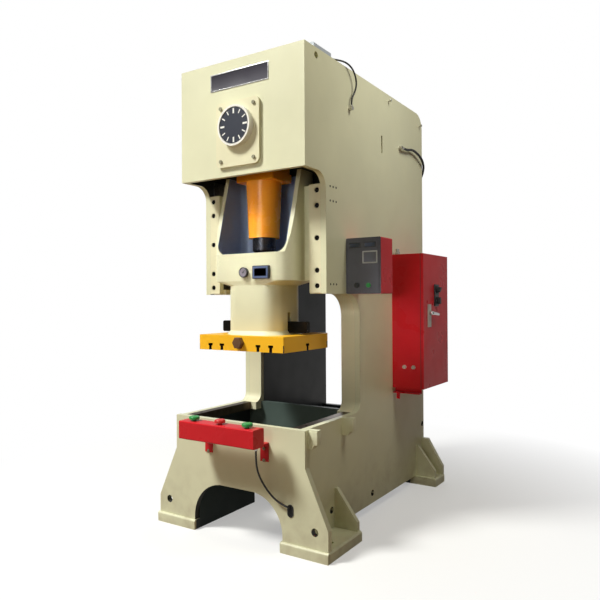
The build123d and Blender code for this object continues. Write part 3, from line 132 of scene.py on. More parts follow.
def make_cord(name, node, places, radius):
    """One smooth line through the air, as round as the cable or hose. Each point
    carries the radius, so the piece's bounds are the tube's own."""
    data = bpy.data.curves.new(name, "CURVE")
    data.dimensions = "3D"
    data.bevel_depth = 1
    data.bevel_resolution = 5
    data.resolution_u = 10
    data.use_fill_caps = True
    line = data.splines.new("NURBS")
    line.points.add(len(places) - 1)
    for point, place in zip(line.points, places):
        point.co = (*place, 1)
        point.radius = radius
    line.order_u = 3
    line.use_endpoint_u = True
    piece = bpy.data.objects.new(name, data)
    bpy.context.scene.collection.objects.link(piece)
    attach(piece, "frame")
    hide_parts(node)
    return piece


console_cable = make_cord(
    "cable_of_console", "console_cable", CONSOLE_CABLE, 0.006
)
side_hose = make_cord("hose_of_head", "side_hose", SIDE_HOSE, 0.006)
rear_hose = make_cord("hose_of_clutch", "rear_hose", REAR_HOSE, 0.010)


# Finishes
def linear(colour):
    """sRGB hex colour as linear red, green, blue and alpha."""
    parts = [int(colour[i : i + 2], 16) / 255 for i in (1, 3, 5)]
    return [c / 12.92 if c <= 0.04045 else ((c + 0.055) / 1.055) ** 2.4 for c in parts] + [1]


def per(millimetres):
    """Scale of a pattern whose features are this many millimetres apart."""
    return 1000 / millimetres


def add(tree, kind, inputs=None, out=None, **settings):
    """Add a node with its settings, fill or link its inputs, and return the output
    that is asked for, or else the node."""
    made = tree.nodes.new("ShaderNode" + kind)
    for key, value in settings.items():
        setattr(made, key, value)
    for key, value in (inputs or {}).items():
        if isinstance(value, bpy.types.NodeSocket):
            tree.links.new(value, made.inputs[key])
        else:
            made.inputs[key].default_value = value
    return made if out is None else made.outputs[out]


def start_finish(name, roughness, metallic=0.0, **sockets):
    """New material with its shader, and the place on the object in metres."""
    made = bpy.data.materials.new(name)
    made.use_nodes = True
    tree = made.node_tree
    shader = tree.nodes["Principled BSDF"]
    shader.inputs["Roughness"].default_value = roughness
    shader.inputs["Metallic"].default_value = metallic
    for key, value in sockets.items():
        shader.inputs[key.replace("_", " ")].default_value = value
    return made, tree, shader, add(tree, "TexCoord", out="Object")


def join_shader(tree, shader, **sockets):
    """Link these outputs to the shader's sockets."""
    for key, value in sockets.items():
        tree.links.new(value, shader.inputs[key.replace("_", " ")])


def within(tree, place, low, high):
    """1 inside the box between two corners and 0 outside it."""
    axes = add(tree, "SeparateXYZ", {0: place})
    inside = None
    for axis in range(3):
        middle = (low[axis] + high[axis]) / 2
        reach = (high[axis] - low[axis]) / 2
        inputs = {0: axes.outputs[axis], 1: middle, 2: reach}
        hit = add(tree, "Math", inputs, 0, operation="COMPARE")
        if inside is None:
            inside = hit
        else:
            inside = add(tree, "Math", {0: inside, 1: hit}, 0, operation="MULTIPLY")
    return inside


def enamel(name, colour, roughness=0.38, shade=0.07, gloss=0.35, inside=(), dusty=False):
    """Two-pack enamel sprayed on steel plate: even colour with slight clouds 420 mm
    wide, a fine orange peel, and the plate's shallow waves 260 mm apart, which soften
    what it mirrors. Low down it is dusty where dusty is true. inside lists boxes, each
    with the colour that the surface has there."""
    made, tree, shader, place = start_finish(
        name, roughness, Coat_Weight=0.06, Coat_Roughness=0.25, Specular_IOR_Level=gloss
    )
    base = linear(colour)
    darker = [c * (1 - shade) for c in base[:3]] + [1]
    clouds = add(tree, "TexNoise", {"Vector": place, "Scale": per(420), "Detail": 3}, "Fac")
    clouds = add(tree, "MapRange", {"Value": clouds, 1: 0.35, 2: 0.65}, 0)
    tone = add(tree, "Mix", {0: clouds, 6: base, 7: darker}, 2, data_type="RGBA")
    if dusty:
        # Dust and oily hand marks 90 mm wide, which fade out half a metre up
        height = add(tree, "SeparateXYZ", {0: place}, 2)
        near_floor = add(tree, "MapRange", {"Value": height, 1: 0.0, 2: 0.5, 3: 0.4, 4: 0.0}, 0)
        smudge = add(tree, "TexNoise", {"Vector": place, "Scale": per(90), "Detail": 5}, "Fac")
        smudge = add(tree, "MapRange", {"Value": smudge, 1: 0.42, 2: 0.75}, 0)
        dirt = add(tree, "Math", {0: near_floor, 1: smudge}, 0, operation="MULTIPLY")
        tone = add(tree, "Mix", {0: dirt, 6: tone, 7: linear("#9A8A6E")}, 2, data_type="RGBA")
    for boxes, box_colour in inside:
        for low, high in boxes:
            inputs = {0: within(tree, place, low, high), 6: tone, 7: linear(box_colour)}
            tone = add(tree, "Mix", inputs, 2, data_type="RGBA")
    wear = add(tree, "TexNoise", {"Vector": place, "Scale": per(160), "Detail": 4}, "Fac")
    inputs = {"Value": wear, 1: 0.3, 2: 0.7, 3: roughness - 0.06, 4: roughness + 0.08}
    wear = add(tree, "MapRange", inputs, 0)
    waves = add(tree, "TexNoise", {"Vector": place, "Scale": per(260), "Detail": 1}, "Fac")
    waves = add(tree, "Bump", {"Height": waves, "Distance": 0.0009, "Strength": 1.0}, 0)
    # The peel is 1 to 2 mm wide on the press, and is drawn 4 mm wide so that it shows
    peel = add(tree, "TexNoise", {"Vector": place, "Scale": per(4), "Detail": 1}, "Fac")
    inputs = {"Height": peel, "Distance": 0.00003, "Strength": 1.0, "Normal": waves}
    peel = add(tree, "Bump", inputs, 0)
    join_shader(tree, shader, Base_Color=tone, Roughness=wear, Normal=peel)
    return made


def ground_steel(name, colour, roughness=0.32, along=(1, 1, 1), oil=0.25):
    """Machined and ground steel with a film of oil: fine lines along the cut, and
    darker, browner patches 70 mm wide where the oil stands."""
    made, tree, shader, place = start_finish(name, roughness, 1.0)
    # Grinding lines are 0.1 mm apart on the press, and are drawn 5 mm apart to show
    cut = add(tree, "Mapping", {"Vector": place, "Scale": along}, 0)
    lines = add(tree, "TexNoise", {"Vector": cut, "Scale": per(5), "Detail": 2}, "Fac")
    film = add(tree, "TexNoise", {"Vector": place, "Scale": per(70), "Detail": 4}, "Fac")
    film = add(tree, "MapRange", {"Value": film, 1: 0.45, 2: 0.7, 3: 0.0, 4: oil}, 0)
    inputs = {0: film, 6: linear(colour), 7: linear("#4A3B2A")}
    metal = add(tree, "Mix", inputs, 2, data_type="RGBA")
    inputs = {"Value": lines, 1: 0.3, 2: 0.7, 3: roughness - 0.08, 4: roughness + 0.1}
    gloss = add(tree, "MapRange", inputs, 0)
    grooves = add(tree, "Bump", {"Height": lines, "Distance": 0.00005, "Strength": 1.0}, 0)
    join_shader(tree, shader, Base_Color=metal, Roughness=gloss, Normal=grooves)
    return made


def rubber(name, colour, roughness=0.5):
    """Extruded rubber: nearly black, matt, with a faint bloom 30 mm wide on its skin."""
    made, tree, shader, place = start_finish(name, roughness, Specular_IOR_Level=0.4)
    bloom = add(tree, "TexNoise", {"Vector": place, "Scale": per(30), "Detail": 4}, "Fac")
    bloom = add(tree, "MapRange", {"Value": bloom, 1: 0.4, 2: 0.75, 3: 0.0, 4: 0.35}, 0)
    inputs = {0: bloom, 6: linear(colour), 7: linear("#3A3A38")}
    tone = add(tree, "Mix", inputs, 2, data_type="RGBA")
    skin = add(tree, "TexNoise", {"Vector": place, "Scale": per(1.5), "Detail": 1}, "Fac")
    skin = add(tree, "Bump", {"Height": skin, "Distance": 0.00004, "Strength": 1.0}, 0)
    join_shader(tree, shader, Base_Color=tone, Normal=skin)
    return made


def moulded(name, colour, roughness=0.42, inside=(), inner_colour="#20262A"):
    """Moulded plastic with a spark-eroded grain, a little uneven in colour and gloss.
    Inside the boxes it has the inner colour."""
    made, tree, shader, place = start_finish(name, roughness)
    base = linear(colour)
    paler = [min(1, c * 1.15) for c in base]
    patches = add(tree, "TexNoise", {"Vector": place, "Scale": per(45), "Detail": 3}, "Fac")
    tone = add(tree, "Mix", {0: patches, 6: base, 7: paler}, 2, data_type="RGBA")
    for low, high in inside:
        inputs = {0: within(tree, place, low, high), 6: tone, 7: linear(inner_colour)}
        tone = add(tree, "Mix", inputs, 2, data_type="RGBA")
    gloss = add(tree, "TexNoise", {"Vector": place, "Scale": per(18), "Detail": 3}, "Fac")
    inputs = {"Value": gloss, 1: 0.3, 2: 0.7, 3: roughness - 0.05, 4: roughness + 0.07}
    gloss = add(tree, "MapRange", inputs, 0)
    # The grain is 0.1 mm on the press, and is drawn 1 mm wide to show
    grain = add(tree, "TexNoise", {"Vector": place, "Scale": per(1), "Detail": 1}, "Fac")
    grain = add(tree, "Bump", {"Height": grain, "Distance": 0.00002, "Strength": 1.0}, 0)
    join_shader(tree, shader, Base_Color=tone, Roughness=gloss, Normal=grain)
    return made


def window_glass(name, colour, roughness=0.08):
    """Tinted acrylic window over a dark screen: smooth, uneven in tint over 60 mm, with
    a few finger smears 25 mm wide."""
    made, tree, shader, place = start_finish(name, roughness, Coat_Weight=0.6, Coat_Roughness=0.04)
    shade = add(tree, "TexNoise", {"Vector": place, "Scale": per(60), "Detail": 2}, "Fac")
    shade = add(tree, "MapRange", {"Value": shade, 1: 0.3, 2: 0.7, 3: 0.0, 4: 0.3}, 0)
    inputs = {0: shade, 6: linear(colour), 7: linear("#11161A")}
    tint = add(tree, "Mix", inputs, 2, data_type="RGBA")
    smear = add(tree, "TexNoise", {"Vector": place, "Scale": per(25), "Detail": 4}, "Fac")
    inputs = {"Value": smear, 1: 0.5, 2: 0.8, 3: roughness, 4: roughness + 0.22}
    smear = add(tree, "MapRange", inputs, 0)
    join_shader(tree, shader, Base_Color=tint, Roughness=smear)
    return made


def bronze_bush(name):
    """Turned bronze: warm metal with turning marks 3 mm apart and dull stains."""
    made, tree, shader, place = start_finish(name, 0.35, 1.0)
    stain = add(tree, "TexNoise", {"Vector": place, "Scale": per(25), "Detail": 4}, "Fac")
    stain = add(tree, "MapRange", {"Value": stain, 1: 0.4, 2: 0.7}, 0)
    inputs = {0: stain, 6: linear("#B58A4A"), 7: linear("#7E5E34")}
    metal = add(tree, "Mix", inputs, 2, data_type="RGBA")
    turned = add(tree, "Mapping", {"Vector": place, "Scale": (1, 6, 1)}, 0)
    marks = add(tree, "TexNoise", {"Vector": turned, "Scale": per(3), "Detail": 2}, "Fac")
    marks = add(tree, "Bump", {"Height": marks, "Distance": 0.00004, "Strength": 1.0}, 0)
    join_shader(tree, shader, Base_Color=metal, Normal=marks)
    return made


def cast_iron(name):
    """Machined grey iron under a thin coat of grease: dark grey with small pits."""
    made, tree, shader, place = start_finish(name, 0.45, 0.85)
    grease = add(tree, "TexNoise", {"Vector": place, "Scale": per(60), "Detail": 5}, "Fac")
    grease = add(tree, "MapRange", {"Value": grease, 1: 0.4, 2: 0.7}, 0)
    inputs = {0: grease, 6: linear("#5B5C5E"), 7: linear("#33302B")}
    metal = add(tree, "Mix", inputs, 2, data_type="RGBA")
    gloss = add(tree, "MapRange", {"Value": grease, 1: 0, 2: 1, 3: 0.5, 4: 0.3}, 0)
    pits = add(tree, "TexNoise", {"Vector": place, "Scale": per(2.5), "Detail": 3}, "Fac")
    pits = add(tree, "Bump", {"Height": pits, "Distance": 0.00012, "Strength": 1.0}, 0)
    join_shader(tree, shader, Base_Color=metal, Roughness=gloss, Normal=pits)
    return made


# Sizes of the base, the slide and the panel in metres
ARCH_HALF = 0.360
ARCH_TOP = 0.330
FOOT_INNER = 0.350
FOOT_THICKNESS = 0.064
CABLE_SLOT_LOW = (0.407, 0.230)
CABLE_SLOT_HIGH = (0.435, 0.292)
BAR_HOLE = (0.594, 0.165)
BAR_HOLE_RADIUS = 0.025
SIDE_HOLES = ((0.297, 0.182), (0.879, 0.136), (1.830, 0.472))
SIDE_HOLE_RADIUS = 0.022
ROOF_THICKNESS = 0.035
POCKET_HALF = 0.2885
POCKET_FLOOR = 1.8097
POCKET_FRONT_WALL = 0.0537
POCKET_REAR_WALL = 0.0457
LIP_DEPTH = 0.005
LIP_BOTTOM = 1.86
LIP_TOP = 2.21
T_SLOT_DEPTH = 0.045
FASCIA_THICKNESS = 0.006

# A box reaches this far past a face that it takes in, and stops this far short of one
# that it leaves out
EDGE = 0.0003

# Where a box may run on past the piece
BELOW_FLOOR = -1
BELOW_SLIDE_PLATE = 1
BESIDE_SLIDE = 0.5
BESIDE_CABINET = 1.5

# The shade between the feet ends at this height, and this far from the rear faces
SHADE_TOP = 0.5
REAR_FACE = 0.004


def both_sides(low, high):
    """The box on the right and its mirror image on the left."""
    return [(low, high), ((-high[0], low[1], low[2]), (-low[0], high[1], high[2]))]


def side_hole_walls():
    """Boxes round the walls of the holes through both side plates."""
    reach = SIDE_HOLE_RADIUS + EDGE
    boxes = []
    for depth, height in SIDE_HOLES:
        low = (inner_wall + EDGE, side_low.y + depth - reach, height - reach)
        high = (outer_wall - EDGE, side_low.y + depth + reach, height + reach)
        boxes += both_sides(low, high)
    return boxes


def through_base(x_low, x_high, z_low, z_high):
    """Box round the walls of an opening through the front base plate."""
    return (
        (x_low - EDGE, base_low.y + EDGE, z_low - EDGE),
        (x_high + EDGE, base_high.y + EDGE, z_high + EDGE),
    )


# Inside of the head and throat, darkened near black as painted shade; pocket of the slide; pale
# front of its arms, a painted highlight
painted_shade_inside_frame = [
    (
        (-inner_wall - EDGE, roof_low.y - EDGE, BELOW_FLOOR),
        (inner_wall + EDGE, guard_face - EDGE, roof_high.z - ROOF_THICKNESS - EDGE),
    )
]
slide_pocket = [
    (
        (-POCKET_HALF, slide_low.y + POCKET_FRONT_WALL, POCKET_FLOOR),
        (POCKET_HALF, slide_high.y - POCKET_REAR_WALL, slide_high.z + 0.01),
    )
]
# Painted highlight: the front of the slide's arms is near white, as where light falls on them
painted_highlight_on_slide_arms = [
    (
        (-BESIDE_SLIDE, slide_low.y - EDGE, LIP_BOTTOM),
        (BESIDE_SLIDE, slide_low.y + LIP_DEPTH, LIP_TOP),
    )
]

# Painted shade on the cut edges and walls of holes, and on the shaded middle of the base
bar_hole = through_base(
    BAR_HOLE[0] - BAR_HOLE_RADIUS,
    BAR_HOLE[0] + BAR_HOLE_RADIUS,
    BAR_HOLE[1] - BAR_HOLE_RADIUS,
    BAR_HOLE[1] + BAR_HOLE_RADIUS,
)
# Painted shade: dark on the cut edges of the base plate and in the holes of the side plates
painted_shade_in_cut_edges = [
    through_base(-ARCH_HALF, ARCH_HALF, BELOW_FLOOR, ARCH_TOP),
    through_base(CABLE_SLOT_LOW[0], CABLE_SLOT_HIGH[0], CABLE_SLOT_LOW[1], CABLE_SLOT_HIGH[1]),
    *both_sides(*bar_hole),
    *side_hole_walls(),
]
# Painted shade: dark green between the feet, up to SHADE_TOP
painted_shade_between_feet = [
    (
        (-inner_wall - EDGE, side_low.y, BELOW_FLOOR),
        (inner_wall + EDGE, side_high.y - REAR_FACE, SHADE_TOP),
    ),
    (
        (-FOOT_INNER - EDGE, foot_low.y + EDGE, BELOW_FLOOR),
        (FOOT_INNER + EDGE, foot_high.y - REAR_FACE, SHADE_TOP),
    ),
]

# Grey plate behind the door handle, T-slots of the slide plate (oiled bare steel, with painted
# shade in the slots), fascia of the panel
handle_plate = [
    (
        (shell_face - 0.01, handle_low.y - 0.02, handle_low.z - 0.13),
        (BESIDE_CABINET, handle_low.y + 0.047, handle_high.z + 0.08),
    )
]
# Dark brown for the oiled bare steel under the plate, and painted shade inside the T-slots
t_slots_bare_steel_and_shade = [
    (
        (plate_low.x + EDGE, plate_low.y + EDGE, BELOW_SLIDE_PLATE),
        (plate_high.x - EDGE, plate_high.y - EDGE, plate_low.z + T_SLOT_DEPTH + EDGE),
    )
]
fascia_area = [
    (
        (panel_low.x, panel_low.y - EDGE, panel_low.z),
        (panel_high.x, panel_low.y + FASCIA_THICKNESS + EDGE, panel_high.z),
    )
]

# Painted plate and castings: an even, softly shining cream skin
# Painted shade: near black inside the head and throat, and dark on the cut edges and in the holes
cream = enamel(
    "cream_enamel_on_welded_plate",
    "#DFDFBE",
    inside=[(painted_shade_inside_frame, "#20262A"), (painted_shade_in_cut_edges, "#2A2A22")],
    dusty=True,
)
# Pocket of the slide in pale blue grey, and a painted highlight near white on the front of its
# arms
cream_slide = enamel(
    "cream_enamel_on_cast_slide",
    "#DFDFBE",
    inside=[(slide_pocket, "#90A4C6"), (painted_highlight_on_slide_arms, "#F6F7EA")],
)
cream_cover = enamel("cream_enamel_on_covers", "#E4E0BE")
# Painted shade in dark green between the feet
cream_foot = enamel(
    "cream_enamel_on_foot_plates", "#DFDFBE", inside=[(painted_shade_between_feet, "#1B2725")], dusty=True
)
ring_white = enamel("white_enamel_on_dial_ring", "#F3F2EA", roughness=0.3)
painted_bolt = enamel("olive_enamel_on_hex_bolts", "#8F8C74", roughness=0.42)

# Dark green painted shade between the feet, and dark primer darkened as painted shade inside the
# frame: matt and cloudy
painted_shade_green = enamel("dark_green_painted_shade_between_the_feet", "#1B2725", roughness=0.6, shade=0.2)
dark_primer_with_painted_shade = enamel("dark_green_primer_and_painted_shade_inside_the_frame", "#52605A", roughness=0.5, shade=0.25)

# Warning colours on what moves: glossier, so that the rod shows bright streaks
orange = enamel("orange_enamel_on_forged_rod", "#FFA326", roughness=0.24, gloss=0.25)
yellow = enamel(
    "yellow_enamel_on_slide_plate",
    "#FFC22C",
    roughness=0.32,
    gloss=0.2,
    inside=[(t_slots_bare_steel_and_shade, "#3F2F22")],
)

# Powder coat and paint on sheet steel: deep colour that mirrors little
red = enamel("red_powder_coat_on_sheet_steel", "#D0222B", roughness=0.3, shade=0.12, gloss=0.12)
red_panel = enamel(
    "red_powder_coat_with_grey_fascia",
    "#D0222B",
    roughness=0.3,
    gloss=0.12,
    inside=[(fascia_area, "#5C5E66")],
)
blue_grey = enamel("blue_grey_enamel_on_cover", "#B4BCC8", roughness=0.35)
motor_blue = enamel("grey_blue_enamel_on_motor_casing", "#46606F", roughness=0.4)
brown_bolt = enamel("brown_rust_proofing_on_clamp_bolt", "#6B4A2E", roughness=0.45, shade=0.3)
dial_black = enamel("satin_black_enamel_on_dial", "#1B2130", roughness=0.6)
tick_white = enamel("white_enamel_in_dial_marks", "#F2F2EC", roughness=0.4)
plate_dark = enamel("dark_lacquer_on_nameplate", "#272330", roughness=0.6)

# Bare metal: streaks of light along the cut, dulled by oil
steel = ground_steel("ground_steel_with_oil_film", "#9A968E", along=(1, 1, 0.2))
dark_steel = ground_steel("ground_steel_under_black_oil", "#2E3036", roughness=0.3, oil=0.6)
rim_steel = ground_steel(
    "milled_bed_rim_under_brown_oil", "#5E5042", roughness=0.42, along=(0.15, 1, 1), oil=0.7
)
zinc = ground_steel("zinc_plated_steel", "#B9B6AC", roughness=0.3, oil=0.1)
black_oxide = ground_steel("black_oxide_steel", "#1C1B1A", roughness=0.4, oil=0.2)
chrome = ground_steel("polished_chrome_on_die_cast_zinc", "#D9D9D6", roughness=0.16, oil=0.03)
trim_silver = ground_steel("anodised_aluminium_trim", "#C9C9C6", roughness=0.28, oil=0.02)
iron = cast_iron("greased_grey_iron")
bronze = bronze_bush("turned_bronze")

# Plastic, rubber and windows: matt grain, black bloom, and smooth dark acrylic
black_abs = moulded("black_moulded_abs", "#17181A")
door_plate_finish = moulded(
    "black_plates_and_grey_handle_plate_on_door",
    "#17181A",
    inside=handle_plate,
    inner_colour="#B4B1AB",
)
grey_abs = moulded("grey_moulded_switchgear", "#B9BBB8")
green_abs = moulded("green_moulded_button", "#1D8A3C", 0.3)
red_abs = moulded("red_moulded_button", "#C3201D", 0.3)
display_frame = moulded("blue_moulded_display_frame", "#4C5F86")
hose_black = rubber("black_nitrile_hose", "#141414")
cable_dark = rubber("shaded_throat_of_grommet", "#050505", 0.8)
belt_black = rubber("ribbed_belt_rubber", "#1B1A19", 0.62)
screen_blue = window_glass("blue_tinted_display_window", "#1B2C48", 0.14)
screen_black = window_glass("black_display_window", "#0E1218", 0.14)
screen_grey = window_glass("grey_touch_screen", "#54565E", 0.16)
gauge_face = window_glass("mauve_gauge_face_under_glass", "#8D8794", 0.1)

NODE_FINISHES = {
    cream: "left_side_plate right_side_plate head_front_plate head_top_plate "
    "base_front_plate base_rear_plate",
    cream_cover: "throat_flanges gib_strips rear_guard crank_cover",
    ring_white: "dial_ring",
    cream_slide: "slide_body",
    cream_foot: "foot_plates",
    # Inner walls: dark primer, darkened further as painted shade
    dark_primer_with_painted_shade: "inner_walls",
    orange: "con_rod con_rod_cap",
    yellow: "slide_plate",
    red: "cabinet_shell cabinet_door console_box console_straps",
    red_panel: "panel_box",
    blue_grey: "top_cover",
    motor_blue: "motor",
    steel: "guide_rails crankshaft pinion_shaft",
    dark_steel: "ball_screw ball_retainer",
    rim_steel: "bed_rails",
    zinc: "pipe_fittings rotary_union cabinet_hinges",
    painted_bolt: "hex_bolts",
    brown_bolt: "shank_clamp_bolt",
    black_oxide: "gib_bolts knock_out_bar",
    iron: "main_gear flywheel clutch_drum motor_pulley",
    bronze: "shaft_bushes crankpin_bush ball_seat",
    dial_black: "dial_disc",
    door_plate_finish: "door_plates",
    black_abs: "slide_instruments main_switch_knob light_switch_knob mode_selector",
    grey_abs: "control_gear",
    green_abs: "run_button left_palm_button right_palm_button",
    red_abs: "console_stop_button",
    belt_black: "v_belts",
}


def dress(piece, *finishes):
    """Give a piece these materials and no others."""
    piece.data.materials.clear()
    for finish in finishes:
        piece.data.materials.append(finish)


for finish, names in NODE_FINISHES.items():
    for name in names.split():
        dress(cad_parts[name], finish)
for cord in (console_cable, side_hose, rear_hose):
    dress(cord, hose_black)


# Shaping
def deselect():
    if bpy.context.object and bpy.context.object.mode != "OBJECT":
        bpy.ops.object.mode_set(mode="OBJECT")
    bpy.ops.object.select_all(action="DESELECT")


def settle(name):
    """Name the new object and put its place into its mesh."""
    piece = bpy.context.object
    piece.name = name
    bpy.ops.object.transform_apply(location=True, rotation=True, scale=True)
    return piece


def block(name, low, high):
    """Cube between two corners."""
    deselect()
    low, high = Vector(low), Vector(high)
    bpy.ops.mesh.primitive_cube_add(size=1, location=(low + high) / 2, scale=high - low)
    return settle(name)


def disc(name, centre, radius, depth, sides=48):
    """Round bar along Y, from centre towards the front."""
    deselect()
    place = Vector(centre) - Vector((0, depth / 2, 0))
    bpy.ops.mesh.primitive_cylinder_add(
        vertices=sides, radius=radius, depth=depth, location=place, rotation=(pi / 2, 0, 0)
    )
    return settle(name)


def pick_faces(piece, test):
    """Open the piece in edit mode with only the faces that pass the test selected."""
    deselect()
    piece.select_set(True)
    bpy.context.view_layer.objects.active = piece
    bpy.ops.object.mode_set(mode="EDIT")
    bpy.ops.mesh.select_mode(type="FACE")
    bpy.ops.mesh.select_all(action="DESELECT")
    bpy.ops.object.mode_set(mode="OBJECT")
    for face in piece.data.polygons:
        face.select = test(face)
    bpy.ops.object.mode_set(mode="EDIT")


def sink(piece, test, border, depth, direction, finish=None):
    """Inset the faces that pass the test and move the middle by depth along direction."""
    pick_faces(piece, test)
    bpy.ops.mesh.inset(thickness=border, depth=0)
    bpy.ops.mesh.extrude_region_move(TRANSFORM_OT_translate={"value": Vector(direction) * depth})
    if finish is not None:
        piece.active_material_index = finish
        bpy.ops.object.material_slot_assign()
    bpy.ops.object.mode_set(mode="OBJECT")


def round_edges(piece, width, segments=2, angle=35):
    """Round the edges that are sharper than the angle."""
    bevel = piece.modifiers.new("edges", "BEVEL")
    bevel.width = width
    bevel.segments = segments
    bevel.limit_method = "ANGLE"
    bevel.angle_limit = radians(angle)
    deselect()
    piece.select_set(True)
    bpy.context.view_layer.objects.active = piece
    bpy.ops.object.modifier_apply(modifier=bevel.name)
    bpy.ops.object.shade_smooth_by_angle(angle=radians(30))


def place_piece(piece, body):
    """Let the piece ride on the body."""
    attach(piece, body)


def faces_front(face):
    """True for a face towards the front."""
    return face.normal.y < -0.9


def every_face(face):
    """True for each face."""
    return True


def no_face(face):
    """True for none."""
    return False


def join(name, pieces):
    """Make one piece of several."""
    deselect()
    for piece in pieces:
        piece.select_set(True)
    bpy.context.view_layer.objects.active = pieces[0]
    bpy.ops.object.join()
    pieces[0].name = name
    return pieces[0]


def bevel_some(piece, test, width, segments=4):
    """Round only the edges whose middle passes the test."""
    pick_faces(piece, no_face)
    bpy.ops.mesh.select_mode(type="EDGE")
    bpy.ops.object.mode_set(mode="OBJECT")
    corners = piece.data.vertices
    for edge in piece.data.edges:
        first, second = (corners[i].co for i in edge.vertices)
        edge.select = test((first + second) / 2, second - first)
    bpy.ops.object.mode_set(mode="EDIT")
    bpy.ops.mesh.bevel(offset=width, segments=segments, affect="EDGES")
    bpy.ops.object.mode_set(mode="OBJECT")
    bpy.ops.object.shade_smooth_by_angle(angle=radians(30))


def copied(piece, name):
    """Copy of the piece, with its own mesh."""
    deselect()
    piece.select_set(True)
    bpy.context.view_layer.objects.active = piece
    bpy.ops.object.duplicate()
    other = bpy.context.object
    other.name = name
    return other


def mirrored(piece, name):
    """Copy of the piece on the other side of the machine."""
    other = copied(piece, name)
    pick_faces(other, every_face)
    bpy.ops.transform.mirror(constraint_axis=(True, False, False), center_override=(0, 0, 0))
    bpy.ops.mesh.normals_make_consistent(inside=False)
    bpy.ops.object.mode_set(mode="OBJECT")
    return other


def moved(piece, name, step):
    """Copy of the piece, this step away."""
    other = copied(piece, name)
    pick_faces(other, every_face)
    bpy.ops.transform.translate(value=step)
    bpy.ops.object.mode_set(mode="OBJECT")
    return other


def turn_about_y(piece, angle, centre):
    """Turn the piece's mesh about a line along Y through the centre."""
    pick_faces(piece, every_face)
    bpy.ops.transform.rotate(value=angle, orient_axis="Y", center_override=centre)
    bpy.ops.object.mode_set(mode="OBJECT")


# Base: wide corners of the arch, inner walls of the legs, welded toes and side lugs
WIDE_ARCH_RADIUS = 0.240
ARCH_OVERLAP = 0.003
LEG_WALL_THICKNESS = 0.012
LEG_WALL_DEPTH = 0.590
TOE_REACH = 0.016
LUG_BOTTOM = 0.668
LUG_TOP = 0.7497
LUG_REACH = 0.0803
LUG_THICKNESS = 0.046
LUG_SPACING = 0.442


def make_arch_corners():
    """Corner of the arch, cut to its wide radius, level with the base plate."""
    back = base_high.y
    centre = Vector((ARCH_HALF - WIDE_ARCH_RADIUS, back + 0.01, ARCH_TOP - WIDE_ARCH_RADIUS))
    low = (centre.x, base_low.y + EDGE / 2, centre.z)
    high = (ARCH_HALF + ARCH_OVERLAP, back - EDGE / 2, ARCH_TOP + ARCH_OVERLAP)
    corner = block("arch_corner_right", low, high)
    cutter = disc("cutter", centre, WIDE_ARCH_RADIUS, back - base_low.y + 0.02, 128)
    cut = corner.modifiers.new("arch", "BOOLEAN")
    cut.operation = "DIFFERENCE"
    cut.object = cutter
    deselect()
    corner.select_set(True)
    bpy.context.view_layer.objects.active = corner
    bpy.ops.object.modifier_apply(modifier=cut.name)
    bpy.data.objects.remove(cutter)
    bpy.ops.object.shade_smooth_by_angle(angle=radians(30))
    for piece in (corner, mirrored(corner, "arch_corner_left")):
        dress(piece, cream)
        place_piece(piece, "frame")


def make_leg_walls():
    """Inner wall of a leg, from the front plate back, and across to the side plate."""
    face = FOOT_INNER - 0.0005
    back = side_low.y + LEG_WALL_DEPTH
    low = (face, base_high.y - 0.001, 0)
    wall = block("leg_wall_right", low, (face + LEG_WALL_THICKNESS, back, ARCH_TOP + 0.004))
    pick_faces(wall, lambda side: side.normal.y > 0.9)
    step = (0, LEG_WALL_THICKNESS, 0)
    bpy.ops.mesh.extrude_region_move(TRANSFORM_OT_translate={"value": step})
    bpy.ops.object.mode_set(mode="OBJECT")
    pick_faces(wall, lambda side: side.normal.x > 0.9 and side.center.y > back)
    step = (inner_wall - face - LEG_WALL_THICKNESS, 0, 0)
    bpy.ops.mesh.extrude_region_move(TRANSFORM_OT_translate={"value": step})
    bpy.ops.object.mode_set(mode="OBJECT")
    round_edges(wall, 0.002, 1)
    for piece in (wall, mirrored(wall, "leg_wall_left")):
        # The leg walls are dark green painted shade
        dress(piece, painted_shade_green)
        place_piece(piece, "frame")


def make_toes():
    """Front edge of a foot plate, ahead of the base plate, with a smooth weld on top."""
    front = base_low.y - TOE_REACH
    high = (foot_high.x, base_low.y + 0.004, FOOT_THICKNESS)
    toe = block("toe_right", (FOOT_INNER - EDGE, front, 0), high)

    def top_front_edge(middle, line):
        return abs(line.x) > 0.1 and middle.z > 0.05 and middle.y < base_low.y

    def upright_front_edge(middle, line):
        return abs(line.z) > 0.03 and middle.y < front + 0.001

    bevel_some(toe, top_front_edge, 0.0135, 6)
    bevel_some(toe, upright_front_edge, 0.004, 3)
    for piece in (toe, mirrored(toe, "toe_left")):
        dress(piece, cream_foot)
        place_piece(piece, "frame")


def make_lug_boxes():
    """Square faces of the two lugs on the right side, over the plate's taper."""
    start = side_low.y - 0.0025
    low = (outer_wall - 0.001, start, LUG_BOTTOM)
    box = block("lug_box_front", low, (outer_wall + LUG_REACH, start + LUG_THICKNESS, LUG_TOP))
    round_edges(box, 0.0015)
    for piece in (box, moved(box, "lug_box_rear", (0, LUG_SPACING, 0))):
        dress(piece, cream)
        place_piece(piece, "frame")


make_arch_corners()
make_leg_walls()
make_toes()
make_lug_boxes()


# Rubber grommet of the console's cable, a long ring round the slot
GROMMET_LOW = (0.3985, 0.2220)
GROMMET_HIGH = (0.4435, 0.3000)


